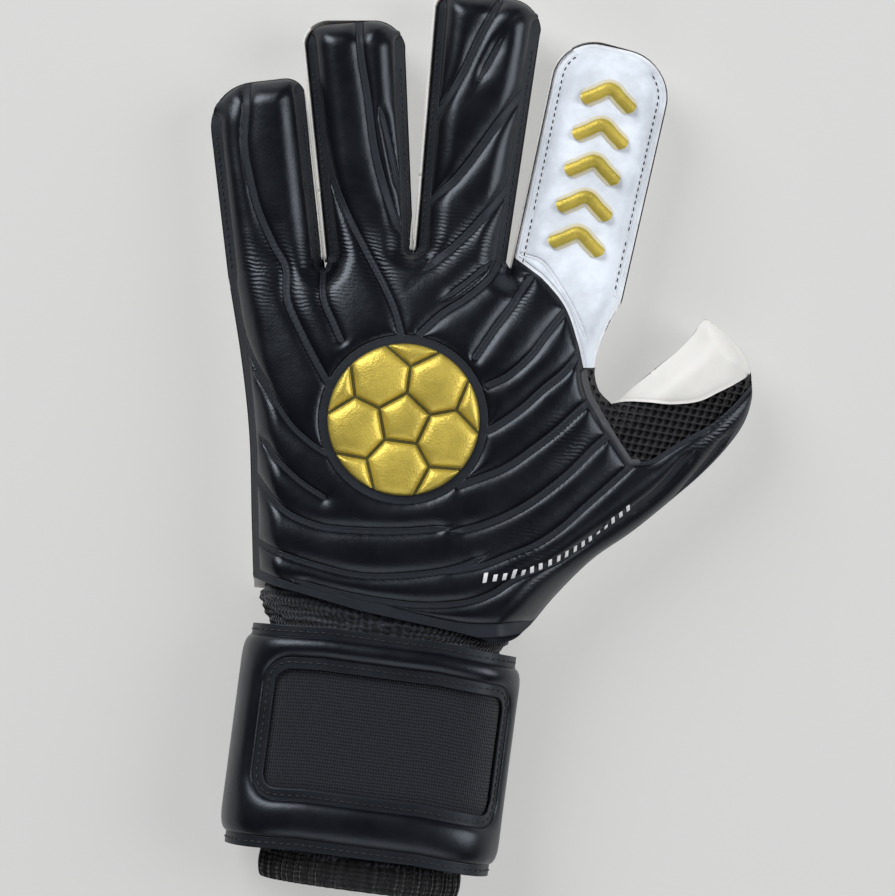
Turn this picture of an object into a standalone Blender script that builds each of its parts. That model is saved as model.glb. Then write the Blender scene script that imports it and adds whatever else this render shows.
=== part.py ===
"""Left goalkeeper glove, lying palm down.

+X points to the thumb side, +Y to the fingertips and +Z away from the palm. The origin is on the
palm's flat face, under the middle of the hand. The glove is a hand shell of two halves, a palm of
latex foam and a back of embossed foam, with five digits that bend at two lines each, and a knitted
cuff under a padded closing strap. Each digit is hollow, and holds a lining sleeve.
"""

import math
from dataclasses import dataclass

import bmesh
import bpy
from mathutils import Matrix, Vector

MM = 0.001

# Clearances
GAP = 0.3 * MM  # between pieces that touch
REACH = 300 * MM  # longer than the glove, for cutters

# Foam, latex and cloth
PALM_THICK = 6.0 * MM  # latex foam and its backing
BACK_THICK = 6.0 * MM  # embossed foam of the back
SIDE_THICK = 3.5 * MM  # rolled latex on a finger's sides
TIP_THICK = 5.0 * MM
LINING_THICK = 1.0 * MM
SEAM_HEIGHT = 15.0 * MM  # where palm latex and back panel meet
FILM_THICK = 0.8 * MM

# Digits
FINGER_THICK = 25.0 * MM
FINGER_TOP_ROUND = 7.0 * MM
FINGER_BOTTOM_ROUND = 4.5 * MM
CAVITY_ROUND = 3.0 * MM
CAVITY_BACK = 22.0 * MM  # how far a finger's hollow reaches into the hand
KNUCKLE_LINE = 54.0 * MM  # from the palm's middle to the index finger's hinge

# Hand
HAND_THICK = 34.5 * MM
WRIST_LINE = -53.0 * MM
WRIST_LEFT = -43.0 * MM
WRIST_RIGHT = 45.0 * MM
LITTLE_SIDE_WAIST = 4.6 * MM
THENAR_WAIST = 3.0 * MM
HAND_WALL = 4.0 * MM
PALM_EDGE_ROUND = 4.0 * MM
LINING_SHORT = 22.0 * MM  # the hand's lining ends this far before the knuckles
WEB_BOW = 3.4 * MM  # between the thumb's hinge and the index finger's
KNUCKLE_RISE = 1.5 * MM  # the hand's back stands this far over the fingers at the knuckles
KNUCKLE_AHEAD = 8.0 * MM  # that height starts this far past the knuckle line
SHOULDER_BACK = 20.0 * MM  # the hand's back starts to fall here, before the knuckle line
SHOULDER_FALL = 2.5 * MM
LEVEL_BACK = 40.0 * MM  # and is level up to here
ARCH = (  # across the hand: (x, how far below the top), both in millimetres
    (86.0, 10.0), (58.0, 5.0), (30.0, 1.2), (0.0, 0.0), (-30.0, 1.5), (-50.0, 6.0), (-70.0, 14.0),
)
ARCH_RIGHT_FALL = 14.0 * MM  # at the ends of the arch, far outside the hand
ARCH_LEFT_FALL = 30.0 * MM

# Thumb
THUMB_PIVOT = (61.5 * MM, 19.5 * MM)  # in the web between thumb and index finger
THUMB_LEAN = 52.5
THUMB_BASE_WIDTH = 35.3 * MM
THUMB_TIP_LEAN = 37.6
THUMB_TIP_WIDTH = 32.8 * MM
THUMB_TIP_SIDE = -2.5 * MM  # tip hinge, measured along the base hinge line
THUMB_TIP_REACH = 18.9 * MM  # and ahead of that line
THUMB_TIP_LENGTH = 22.5 * MM
THUMB_THICK = 26.0 * MM
THUMB_STRIP_WIDTH = 10.5 * MM  # mesh between thumb latex and thumb back
THUMB_LATEX_WIDTH = 12.0 * MM  # latex on the upper side, at the base
THUMB_SEAM_HEIGHT = 14.0 * MM
THUMB_END_OUTER = 24.5 * MM  # the thumb's end, along the tip hinge line
THUMB_END_INNER = -1.5 * MM
THUMB_END_ROUND = 9.0 * MM
THUMB_END_INNER_ROUND = 6.5 * MM
THUMB_BEND_ROUND = 6.0 * MM
THUMB_CAVITY_BACK = 14.0 * MM
DISTAL_LATEX_SHARE = 0.85  # widths past the tip hinge, as shares of those before it
DISTAL_STRIP_SHARE = 0.6

# Cuff and strap
CUFF_AXIS_HEIGHT = 18.0 * MM
MOUTH_HALF = 40.5 * MM
MOUTH_LOW = 5.5 * MM
MOUTH_HIGH = 31.0 * MM
MOUTH_DEPTH = 11.0 * MM
MOUTH_ROUND = 9.0 * MM
SLEEVE_HIGH = 31.0 * MM
STRAP_HALF = 44.0 * MM
STRAP_THICK = 4.6 * MM
STRAP_CORNER = 17.0 * MM
WINDOW_PANEL_THICK = 1.8 * MM
STRAP_LAYERS = STRAP_THICK + WINDOW_PANEL_THICK + 2 * GAP  # from the strap's outside to the sleeve
STRAP_HIGH = SLEEVE_HIGH + STRAP_LAYERS
SLEEVE_TUCK = 4.0 * MM  # how far the knitted sleeve reaches into the hand
SLEEVE_THICK = 2.0 * MM
SLEEVE_LOW = 7.6 * MM
SLEEVE_MOUTH_HALF = STRAP_HALF - STRAP_LAYERS
SLEEVE_CORNER = STRAP_CORNER - STRAP_LAYERS
SLEEVE_END_HALF = 31.0 * MM
SLEEVE_END_SHIFT = 2.0 * MM  # the sleeve's end lies this far towards the thumb side
SLEEVE_END_FALL = 2.0 * MM
SLEEVE_FRONT_FALL = 2.6 * MM  # inside the hand's mouth
SLEEVE_MOUTH_FALL = 1.4 * MM
SLEEVE_END = -141.0 * MM
HEM_LENGTH = 7.0 * MM
STRAP_START = -60.8 * MM
STRAP_LENGTH = 71.0 * MM
STRAP_FLANGE = 4.0 * MM
STRAP_FLANGE_THICK = 1.8 * MM
STRAP_END_HEIGHT = 5.4 * MM  # lower edge of the strap's sides
WINDOW_LEFT = -31.0 * MM
WINDOW_RIGHT = 41.0 * MM
WINDOW_START = -75.5 * MM
WINDOW_LENGTH = 37.0 * MM
WINDOW_LAP = 2.5 * MM  # woven panel behind the frame
WINDOW_ROUND = 4.0 * MM
BAND_THICK = 1.7 * MM
BAND_MARGIN = 3.0 * MM  # the band is this much wider than the tab on each side
LOOP_LEFT = -26.0 * MM
LOOP_RIGHT = 28.0 * MM
LOOP_THICK = 1.0 * MM
HOOK_THICK = 0.9 * MM
HOOK_START = 28.0 * MM  # along the tab, from its hinge
HOOK_END = 58.0 * MM
HOOK_MARGIN = 5.0 * MM
TAB_THICK = 1.9 * MM
TAB_LENGTH = 64.0 * MM
TAB_WIDTH = 52.0 * MM
TAB_ROUND = 9.0 * MM
TAB_HINGE_X = -42.0 * MM

# Trim
EMBLEM_CENTRE = (-2.5 * MM, 6.0 * MM)
EMBLEM_RADIUS = 27.0 * MM
EMBLEM_THICK = 2.4 * MM
EMBLEM_ROUND = 4.0 * MM
EMBLEM_SIDES = 6
RELIEF_HALF = 9.0 * MM
RELIEF_START = 8.0 * MM  # from the knuckle hinge
RELIEF_END = 9.0 * MM  # short of the fingertip
RELIEF_CLEAR = 2.5 * MM  # each side of the middle hinge
RELIEF_ROUND = 3.0 * MM
RELIEF_THICK = 1.3 * MM
PRINT_START = Vector((27.5, -39.5)) * MM
PRINT_END = Vector((63.5, -14.5)) * MM
PRINT_BOW = -3.0 * MM
PRINT_HALF = Vector((-1.0, 2.3)) * MM  # from the strip's middle to its edge

# Panels let into the backhand
PANEL_EDGE = (Vector((40.5, 49.0)) * MM, Vector((46.0, 41.0)) * MM)
PANEL_CORNER = Vector((50.3, 29.6)) * MM  # white panel, mesh web and backhand meet here
PANEL_START = -8.5 * MM  # on the index finger's hinge line
WEB_INNER = Vector((69.0, 1.5)) * MM
WEB_OUTER = 22.0 * MM  # on the thumb's hinge line

FINISHES = {
    "black_foam": ((0.008, 0.008, 0.012, 1.0), 0.42, 0.0),
    "white_latex": ((0.78, 0.77, 0.73, 1.0), 0.70, 0.0),
    "white_panel": ((0.74, 0.78, 0.86, 1.0), 0.50, 0.0),
    "gold_relief": ((0.62, 0.50, 0.12, 1.0), 0.35, 0.6),
    "white_print": ((0.85, 0.85, 0.85, 1.0), 0.60, 0.0),
    "black_mesh": ((0.012, 0.012, 0.014, 1.0), 0.80, 0.0),
    "black_knit": ((0.018, 0.018, 0.022, 1.0), 0.90, 0.0),
    "charcoal_weave": ((0.040, 0.042, 0.050, 1.0), 0.85, 0.0),
    "black_rubber": ((0.010, 0.010, 0.014, 1.0), 0.45, 0.0),
    "lining_cloth": ((0.30, 0.30, 0.31, 1.0), 0.95, 0.0),
    "hook_and_loop": ((0.015, 0.015, 0.016, 1.0), 0.95, 0.0),
}


@dataclass(frozen=True)
class Digit:
    """One finger. Its hinge line is square to its own direction, on the palm's face."""

    name: str
    base_x: float
    base_ahead: float  # hinge line's middle, measured from KNUCKLE_LINE
    lean: float  # degrees, clockwise from +Y
    length: float  # hinge line to fingertip
    bend: float  # hinge line to the middle hinge
    base_half: float
    tip_half: float
    corner: float  # radius of the fingertip's corners
    back: str  # finish of the back panel

    def matrix(self):
        """The finger's own frame: its base hinge on X, its length on Y."""
        place = Matrix.Translation((self.base_x, KNUCKLE_LINE + self.base_ahead, 0.0))
        return place @ Matrix.Rotation(-math.radians(self.lean), 4, "Z")

    def base_end(self, side, back_off=0.0):
        """An end of the base hinge line, with side -1 for the little finger's side and 1 for the thumb's."""
        return (self.matrix() @ Vector((side * self.base_half, -back_off, 0.0))).xy


FINGERS = (
    Digit("pinky", -48.5 * MM, -7.0 * MM, -14.0, 60.0 * MM, 29.0 * MM,
          15.0 * MM, 15.2 * MM, 12.0 * MM, "black_foam"),
    Digit("ring", -20.0 * MM, 3.0 * MM, -11.6, 72.5 * MM, 36.0 * MM,
          13.3 * MM, 15.5 * MM, 12.0 * MM, "black_foam"),
    Digit("middle", 8.5 * MM, 7.0 * MM, -0.9, 80.5 * MM, 40.0 * MM,
          14.0 * MM, 16.6 * MM, 11.0 * MM, "black_foam"),
    Digit("index", 42.5 * MM, 0.0, 5.0, 77.0 * MM, 38.0 * MM,
          17.8 * MM, 18.3 * MM, 15.0 * MM, "white_panel"),
)


# --- Scene and finishes

def clear_scene():
    for old in list(bpy.data.objects):
        bpy.data.objects.remove(old)


def new_collection(name, hidden):
    collection = bpy.data.collections.new(name)
    bpy.context.scene.collection.children.link(collection)
    collection.hide_render = hidden
    return collection


def make_finish(name):
    colour, roughness, metallic = FINISHES[name]
    finish = bpy.data.materials.new(name)
    finish.use_nodes = True
    shader = finish.node_tree.nodes["Principled BSDF"]
    shader.inputs["Base Color"].default_value = colour
    shader.inputs["Roughness"].default_value = roughness
    shader.inputs["Metallic"].default_value = metallic
    return finish


# --- Outlines: lists of points in a plane

def rounded(corners, steps=4):
    """An outline from (point, radius) corners, each rounded by an arc."""
    outline = []
    for i, (point, radius) in enumerate(corners):
        here = Vector(point)
        if not radius:
            outline.append(here)
            continue
        into = (Vector(corners[i - 1][0]) - here).normalized()
        out = (Vector(corners[(i + 1) % len(corners)][0]) - here).normalized()
        half = into.angle(out) / 2
        centre = here + (into + out).normalized() * (radius / math.sin(half))
        first = here + into * (radius / math.tan(half)) - centre
        turn = math.pi - 2 * half
        if into.x * out.y - into.y * out.x > 0:
            turn = -turn
        for k in range(steps + 1):
            outline.append(centre + Matrix.Rotation(turn * k / steps, 2) @ first)
    return outline


def bowed(start, end, bow, steps=5):
    """Points from start to end on a shallow curve, bow to the left of the way."""
    start, end = Vector(start), Vector(end)
    left = Vector((start.y - end.y, end.x - start.x)).normalized()
    points = []
    for k in range(1, steps):
        share = k / steps
        points.append(start.lerp(end, share) + left * (4 * bow * share * (1 - share)))
    return points


def inset(outline, distance):
    """The outline moved inwards, for an outline that runs anticlockwise."""
    moved = []
    for i, here in enumerate(outline):
        before = (here - outline[i - 1]).normalized()
        after = (outline[(i + 1) % len(outline)] - here).normalized()
        left_before = Vector((-before.y, before.x))
        left_after = Vector((-after.y, after.x))
        mitre = (left_before + left_after).normalized()
        moved.append(here + mitre * (distance / max(mitre.dot(left_after), 0.5)))
    return moved


def box_section(half, low, high, radius, centre=0.0):
    """A rounded box across the wrist, as points (x, z)."""
    radius = min(radius, (high - low) / 2 - 0.5 * MM)
    corners = ((centre - half, low), (centre + half, low), (centre + half, high), (centre - half, high))
    return rounded([(corner, radius) for corner in corners])


# --- Solids

def tidy_mesh(bm):
    bmesh.ops.remove_doubles(bm, verts=bm.verts, dist=1e-6)
    bmesh.ops.recalc_face_normals(bm, faces=bm.faces)


def new_object(name, bm):
    mesh = bpy.data.meshes.new(name)
    bm.to_mesh(mesh)
    bm.free()
    made = bpy.data.objects.new(name, mesh)
    WORK.objects.link(made)
    return made


def round_rim(bm, height, radius, steps):
    """Rounds the edges round the flat face at a height."""
    rim = [
        edge for edge in bm.edges
        if all(abs(vert.co.z - height) < 1e-6 for vert in edge.verts)
    ]
    if radius:
        bmesh.ops.bevel(bm, geom=rim, offset=radius, segments=steps, profile=0.5,
                        affect="EDGES", clamp_overlap=True)


def solid(name, outline, low, high, top_round=0.0, bottom_round=0.0):
    """A flat outline, extruded from low to high."""
    curve = bpy.data.curves.new(name, "CURVE")
    curve.dimensions = "2D"
    curve.fill_mode = "BOTH"
    curve.extrude = (high - low) / 2
    spline = curve.splines.new("POLY")
    spline.points.add(len(outline) - 1)
    for point, (x, y) in zip(spline.points, outline):
        point.co = (x, y, 0.0, 1.0)
    spline.use_cyclic_u = True
    guide = bpy.data.objects.new(name, curve)
    WORK.objects.link(guide)
    graph = bpy.context.evaluated_depsgraph_get()
    mesh = bpy.data.meshes.new_from_object(guide.evaluated_get(graph))
    bpy.data.objects.remove(guide)
    bpy.data.curves.remove(curve)
    bm = bmesh.new()
    bm.from_mesh(mesh)
    bpy.data.meshes.remove(mesh)
    bmesh.ops.translate(bm, verts=bm.verts, vec=(0.0, 0.0, (low + high) / 2))
    tidy_mesh(bm)
    bmesh.ops.dissolve_limit(bm, angle_limit=math.radians(0.3), verts=bm.verts, edges=bm.edges)
    round_rim(bm, high, top_round, 3)
    round_rim(bm, low, bottom_round, 2)
    tidy_mesh(bm)
    return new_object(name, bm)


def turn_mesh(body, matrix):
    body.data.transform(matrix)
    return body


def across(name, outline, start, end):
    """An outline of points (x, z), extruded along Y from start to end."""
    body = solid(name, outline, -end, -start)
    return turn_mesh(body, Matrix.Rotation(math.radians(90), 4, "X"))


def block(name, low, high):
    """A box between two corners."""
    bm = bmesh.new()
    bmesh.ops.create_cube(bm, size=1.0)
    size = Vector(high) - Vector(low)
    bmesh.ops.scale(bm, vec=size, verts=bm.verts)
    bmesh.ops.translate(bm, vec=(Vector(high) + Vector(low)) / 2, verts=bm.verts)
    return new_object(name, bm)


def sleeve_solid(name, sections):
    """A closed tube through (y, outline) sections with the same number of points."""
    bm = bmesh.new()
    loops = []
    for y, outline in sections:
        verts = [bm.verts.new((x, y, z)) for x, z in outline]
        loops.append([bm.edges.new((verts[i - 1], vert)) for i, vert in enumerate(verts)])
    for here, after in zip(loops, loops[1:]):
        bmesh.ops.bridge_loops(bm, edges=here + after)
    for end in (loops[0], loops[-1]):
        bmesh.ops.contextual_create(bm, geom=end)
    tidy_mesh(bm)
    return new_object(name, bm)


def combine(body, tool, operation, keep_tool=False):
    """Applies a Boolean to body, and removes the tool unless it is used again."""
    modifier = body.modifiers.new(operation, "BOOLEAN")
    modifier.operation = operation
    modifier.solver = "EXACT"
    modifier.object = tool
    graph = bpy.context.evaluated_depsgraph_get()
    mesh = bpy.data.meshes.new_from_object(body.evaluated_get(graph))
    body.modifiers.clear()
    before = body.data
    body.data = mesh
    bpy.data.meshes.remove(before)
    if not keep_tool:
        bpy.data.objects.remove(tool)
    return body


def duplicate(body, name):
    twin = bpy.data.objects.new(name, body.data.copy())
    twin.matrix_world = body.matrix_world.copy()
    WORK.objects.link(twin)
    return twin


def cut_piece(source, name, tool, keep_tool=False):
    """The part of source inside tool, as a new object."""
    piece = duplicate(source, name)
    return combine(piece, tool, "INTERSECT", keep_tool)


def finish_piece(body, name, finish, parent=None, matrix=None):
    """Names the piece, gives it its finish, and hangs it on its joint's empty."""
    body.name = name
    body.data.name = name
    bm = bmesh.new()
    bm.from_mesh(body.data)
    bmesh.ops.remove_doubles(bm, verts=bm.verts, dist=1e-6)
    bmesh.ops.dissolve_degenerate(bm, edges=bm.edges, dist=1e-6)
    bm.to_mesh(body.data)
    bm.free()
    body.data.materials.clear()
    body.data.materials.append(MATERIALS[finish])
    body.data.set_sharp_from_angle(angle=math.radians(35))
    WORK.objects.unlink(body)
    GLOVE.objects.link(body)
    if parent is not None:
        place = Matrix.Identity(4) if matrix is None else matrix
        body.data.transform(parent.matrix_world.inverted() @ place)
        body.parent = parent
    return body


def joint_empty(name, matrix):
    empty = bpy.data.objects.new(name, None)
    empty.empty_display_size = 10 * MM
    GLOVE.objects.link(empty)
    empty.matrix_world = matrix
    bpy.context.view_layer.update()
    return empty


# --- Fingers, each in its own frame

def finger_outline(digit, start, end, wall, tip_wall):
    """Outline from start to end along the finger, wall inside the outer one. The end is round at the tip."""
    def half_at(y):
        share = max(0.0, min(1.0, y / digit.length))
        return digit.base_half + (digit.tip_half - digit.base_half) * share - wall
    end = min(end, digit.length - tip_wall)
    at_tip = end >= digit.length - tip_wall
    corner = digit.corner - wall if at_tip else 0.0
    return rounded([
        ((-half_at(start), start), 0.0),
        ((half_at(start), start), 0.0),
        ((half_at(end), end), corner),
        ((-half_at(end), end), corner),
    ])


def finger_cavity(digit, name, wall_extra=0.0):
    """The hollow of a finger, reaching back into the hand."""
    outline = finger_outline(digit, -CAVITY_BACK, digit.length, SIDE_THICK + wall_extra, TIP_THICK + wall_extra)
    low = PALM_THICK + wall_extra
    high = FINGER_THICK - BACK_THICK - wall_extra
    return solid(name, outline, low, high, CAVITY_ROUND, CAVITY_ROUND)


def build_finger(digit):
    """Back panel, palm latex and lining of both segments."""
    outline = finger_outline(digit, 0.0, digit.length, 0.0, 0.0)
    shell = solid("shell", outline, 0.0, FINGER_THICK, FINGER_TOP_ROUND, FINGER_BOTTOM_ROUND)
    combine(shell, finger_cavity(digit, "hollow"), "DIFFERENCE")
    lining = finger_cavity(digit, "lining", GAP)
    combine(lining, finger_cavity(digit, "inside", GAP + LINING_THICK), "DIFFERENCE")
    base = digit.matrix()
    middle = base @ Matrix.Translation((0.0, digit.bend, 0.0))
    segments = (
        ("proximal", base, GAP / 2, digit.bend - GAP / 2),
        ("distal", middle, digit.bend + GAP / 2, REACH),
    )
    for segment, matrix, start, end in segments:
        hinge = joint_empty(f"{digit.name}_{segment}_hinge", matrix)
        layers = (
            ("palm", "white_latex", -REACH, SEAM_HEIGHT - GAP / 2, shell),
            ("back", digit.back, SEAM_HEIGHT + GAP / 2, REACH, shell),
            ("lining", "lining_cloth", -REACH, REACH, lining),
        )
        for layer, finish, low, high, source in layers:
            tool = block("tool", (-REACH, start, low), (REACH, end, high))
            piece = cut_piece(source, "piece", tool)
            finish_piece(piece, f"{digit.name}_{segment}_{layer}", finish, hinge, base)
    bpy.data.objects.remove(shell)
    bpy.data.objects.remove(lining)


def build_index_relief(digit):
    """Raised plates on the index finger's back, one on each segment."""
    base = digit.matrix()
    plates = (
        ("proximal", RELIEF_START, digit.bend - RELIEF_CLEAR),
        ("distal", digit.bend + RELIEF_CLEAR, digit.length - RELIEF_END),
    )
    for segment, start, end in plates:
        corners = ((-RELIEF_HALF, start), (RELIEF_HALF, start), (RELIEF_HALF, end), (-RELIEF_HALF, end))
        outline = rounded([(corner, RELIEF_ROUND) for corner in corners])
        plate = solid("plate", outline, FINGER_THICK + GAP, FINGER_THICK + GAP + RELIEF_THICK)
        hinge = bpy.data.objects[f"index_{segment}_hinge"]
        finish_piece(plate, f"index_{segment}_relief", "gold_relief", hinge, base)


# --- Thumb

def thumb_frames():
    """The thumb's two hinge frames: X along the hinge line from the web side out, Y ahead."""
    base = Matrix.Translation((*THUMB_PIVOT, 0.0)) @ Matrix.Rotation(-math.radians(THUMB_LEAN), 4, "Z")
    turn = Matrix.Rotation(math.radians(THUMB_LEAN - THUMB_TIP_LEAN), 4, "Z")
    tip = base @ Matrix.Translation((THUMB_TIP_SIDE, THUMB_TIP_REACH, 0.0)) @ turn
    return base, tip


def thumb_outline(wall=0.0, behind=0.0):
    """The whole thumb from above, wall inside the outer outline, starting behind its base line."""
    base, tip = thumb_frames()
    side_in = wall
    side_out = THUMB_TIP_WIDTH - wall
    end = THUMB_TIP_LENGTH - wall
    points = (
        ((base @ Vector((side_in, -behind, 0))).xy, 0.0),
        ((base @ Vector((THUMB_BASE_WIDTH - wall, -behind, 0))).xy, 0.0),
        ((tip @ Vector((side_out, 0, 0))).xy, THUMB_BEND_ROUND),
        ((tip @ Vector((THUMB_END_OUTER - wall, end, 0))).xy, THUMB_END_ROUND - wall),
        ((tip @ Vector((side_in + THUMB_END_INNER, end, 0))).xy, THUMB_END_INNER_ROUND - wall),
        ((tip @ Vector((side_in, 0, 0))).xy, 0.0),
    )
    return rounded(points)


def thumb_cavity(name, wall_extra=0.0):
    outline = thumb_outline(SIDE_THICK + wall_extra, THUMB_CAVITY_BACK)
    low = PALM_THICK + wall_extra
    high = THUMB_THICK - BACK_THICK - wall_extra
    return solid(name, outline, low, high, CAVITY_ROUND, CAVITY_ROUND)


def thumb_zone(name, frame, inner, outer, low, high):
    """A strip along a thumb segment between two distances from its web side."""
    zone = block(name, (inner, -REACH / 2, low), (outer, REACH / 2, high))
    zone.matrix_world = frame
    return zone


def build_thumb():
    """Back, mesh strip, latex and lining of both thumb segments."""
    base, tip = thumb_frames()
    shell = solid("shell", thumb_outline(), 0.0, THUMB_THICK, FINGER_TOP_ROUND, FINGER_BOTTOM_ROUND)
    combine(shell, thumb_cavity("hollow"), "DIFFERENCE")
    lining = thumb_cavity("lining", GAP)
    combine(lining, thumb_cavity("inside", GAP + LINING_THICK), "DIFFERENCE")
    narrower = THUMB_LATEX_WIDTH * DISTAL_LATEX_SHARE
    segments = (
        ("proximal", base, THUMB_LATEX_WIDTH, THUMB_BASE_WIDTH, THUMB_STRIP_WIDTH),
        ("distal", tip, narrower, THUMB_TIP_WIDTH, THUMB_STRIP_WIDTH * DISTAL_STRIP_SHARE),
    )
    lower = THUMB_SEAM_HEIGHT
    lap = 1 * MM
    for segment, frame, latex, width, strip in segments:
        piece_of = duplicate(shell, "segment")
        lining_of = duplicate(lining, "segment_lining")
        start = block("start", (-REACH, GAP / 2, -REACH), (REACH, REACH, REACH))
        start.matrix_world = frame
        combine(piece_of, start, "INTERSECT", keep_tool=True)
        combine(lining_of, start, "INTERSECT")
        if segment == "proximal":
            end = block("end", (-REACH, -REACH, -REACH), (REACH, -GAP / 2, REACH))
            end.matrix_world = tip
            combine(piece_of, end, "INTERSECT", keep_tool=True)
            combine(lining_of, end, "INTERSECT")
        hinge = joint_empty(f"thumb_{segment}_hinge", frame)
        edge = width - SIDE_THICK
        latex_zone = thumb_zone("zone", frame, -REACH, latex, lower - lap, REACH)
        floor_zone = thumb_zone("floor", frame, -REACH, edge, -REACH, lower)
        combine(latex_zone, floor_zone, "UNION")
        piece = cut_piece(piece_of, "piece", latex_zone)
        finish_piece(piece, f"thumb_{segment}_latex", "white_latex", hinge)
        mesh_zone = thumb_zone("zone", frame, latex + GAP, latex + strip, lower + GAP, REACH)
        piece = cut_piece(piece_of, "piece", mesh_zone)
        finish_piece(piece, f"thumb_{segment}_mesh", "black_mesh", hinge)
        back_zone = thumb_zone("zone", frame, latex + strip + GAP, REACH, lower + GAP, REACH)
        wall_zone = thumb_zone("wall", frame, edge + GAP, REACH, -REACH, lower + lap)
        combine(back_zone, wall_zone, "UNION")
        piece = cut_piece(piece_of, "piece", back_zone)
        finish_piece(piece, f"thumb_{segment}_back", "black_foam", hinge)
        finish_piece(lining_of, f"thumb_{segment}_lining", "lining_cloth", hinge)
        bpy.data.objects.remove(piece_of)
    bpy.data.objects.remove(shell)
    bpy.data.objects.remove(lining)


# --- Hand

def hand_outline():
    """The hand from above, anticlockwise from the wrist's little finger side."""
    base, _ = thumb_frames()
    wrist_left = Vector((WRIST_LEFT, WRIST_LINE))
    wrist_right = Vector((WRIST_RIGHT, WRIST_LINE))
    thumb_out = (base @ Vector((THUMB_BASE_WIDTH, -GAP / 2, 0))).xy
    thumb_in = (base @ Vector((0, -GAP / 2, 0))).xy
    index_out = FINGERS[-1].base_end(1, GAP / 2)
    points = [wrist_left, wrist_right]
    points += bowed(wrist_right, thumb_out, THENAR_WAIST)
    points += [thumb_out, thumb_in]
    points += bowed(thumb_in, index_out, WEB_BOW, 4)
    for digit in reversed(FINGERS):
        points += [digit.base_end(1, GAP / 2), digit.base_end(-1, GAP / 2)]
    points += bowed(FINGERS[0].base_end(-1, GAP / 2), wrist_left, LITTLE_SIDE_WAIST)
    return points


def crown(name, drop):
    """A solid under the hand's back, from side to side and from wrist to knuckles, lowered by drop."""
    high = HAND_THICK - drop
    over = FINGER_THICK + KNUCKLE_RISE - drop
    arch = [(-REACH, -REACH), (REACH, -REACH), (REACH, high - ARCH_RIGHT_FALL)]
    arch += [(x * MM, high - below * MM) for x, below in ARCH]
    arch.append((-REACH, high - ARCH_LEFT_FALL))
    fall = [
        (-REACH, -REACH), (REACH, -REACH), (REACH, over), (KNUCKLE_LINE + KNUCKLE_AHEAD, over),
        (KNUCKLE_LINE - SHOULDER_BACK, high - SHOULDER_FALL), (KNUCKLE_LINE - LEVEL_BACK, high),
        (-REACH, high),
    ]
    body = across(name, [Vector(point) for point in arch], -REACH / 2, REACH / 2)
    side = solid("fall", [Vector(point) for point in fall], -REACH / 2, REACH / 2)
    turn_mesh(side, Matrix(((0, 0, 1, 0), (1, 0, 0, 0), (0, 1, 0, 0), (0, 0, 0, 1))))
    return combine(body, side, "INTERSECT")


def crowned(name, outline, low, drop, bottom_round=0.0):
    """An outline extruded up to the hand's crown."""
    body = solid(name, outline, low, HAND_THICK + 10 * MM, 0.0, bottom_round)
    return combine(body, crown("crown", drop), "INTERSECT")


def wrist_mouth(name):
    section = box_section(MOUTH_HALF, MOUTH_LOW, MOUTH_HIGH, MOUTH_ROUND)
    return across(name, section, WRIST_LINE - MOUTH_DEPTH, WRIST_LINE + MOUTH_DEPTH)


def hand_hollow(name, wall_extra=0.0):
    """The space for the hand, without the fingers' and the wrist's passages."""
    outline = inset(hand_outline(), HAND_WALL + wall_extra)
    return crowned(name, outline, PALM_THICK + wall_extra, BACK_THICK + wall_extra)


def back_zones():
    """Outlines of the panels let into the backhand: the index finger's white base and the mesh web."""
    index = FINGERS[-1]
    hinge = index.matrix()
    ahead = 20 * MM  # past the hand's outline
    aside = 2 * MM
    start = (hinge @ Vector((PANEL_START, 0, 0))).xy
    white = [
        start + Vector((-aside, ahead)), start, *PANEL_EDGE, PANEL_CORNER,
        PANEL_CORNER + Vector((ahead, -aside)), (hinge @ Vector((2 * ahead, ahead, 0))).xy,
    ]
    base, _ = thumb_frames()
    web = [
        PANEL_CORNER, WEB_INNER, (base @ Vector((WEB_OUTER, 0, 0))).xy,
        (base @ Vector((WEB_OUTER, ahead, 0))).xy, PANEL_CORNER + Vector((ahead, 0)),
    ]
    return white, web


def build_hand():
    """Backhand, palm latex, lining, white index base and mesh web, all on the root."""
    shell = crowned("shell", hand_outline(), 0.0, 0.0, PALM_EDGE_ROUND)
    lining = hand_hollow("lining", GAP)
    combine(lining, hand_hollow("inside", GAP + LINING_THICK), "DIFFERENCE")
    length = block("length", (-REACH, WRIST_LINE + MOUTH_DEPTH + GAP, -REACH),
                   (REACH, KNUCKLE_LINE - LINING_SHORT, REACH))
    combine(lining, length, "INTERSECT")
    combine(shell, hand_hollow("hollow"), "DIFFERENCE")
    combine(shell, wrist_mouth("mouth"), "DIFFERENCE")
    for digit in FINGERS:
        passage = finger_cavity(digit, "passage")
        passage.matrix_world = digit.matrix()
        combine(shell, passage, "DIFFERENCE")
    passage = thumb_cavity("passage")
    combine(shell, passage, "DIFFERENCE", keep_tool=True)
    combine(lining, passage, "DIFFERENCE")
    under = block("under", (-REACH, -REACH, -REACH), (REACH, REACH, SEAM_HEIGHT - GAP / 2))
    finish_piece(cut_piece(shell, "piece", under), "palm_latex", "white_latex")
    over = block("over", (-REACH, -REACH, SEAM_HEIGHT + GAP / 2), (REACH, REACH, REACH))
    top = combine(shell, over, "INTERSECT")
    white, web = back_zones()
    names = (("index_base_panel", "white_panel", white), ("thumb_web_mesh", "black_mesh", web))
    for name, finish, zone in names:
        anticlockwise = zone[::-1] if area(zone) < 0 else zone
        tool = solid("zone", inset(anticlockwise, GAP / 2), 0.0, 2 * HAND_THICK)
        finish_piece(cut_piece(top, "piece", tool), name, finish)
        clear = solid("clear", inset(anticlockwise, -GAP / 2), 0.0, 2 * HAND_THICK)
        combine(top, clear, "DIFFERENCE")
    finish_piece(top, "backhand", "black_foam")
    finish_piece(lining, "hand_lining", "lining_cloth")


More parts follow.
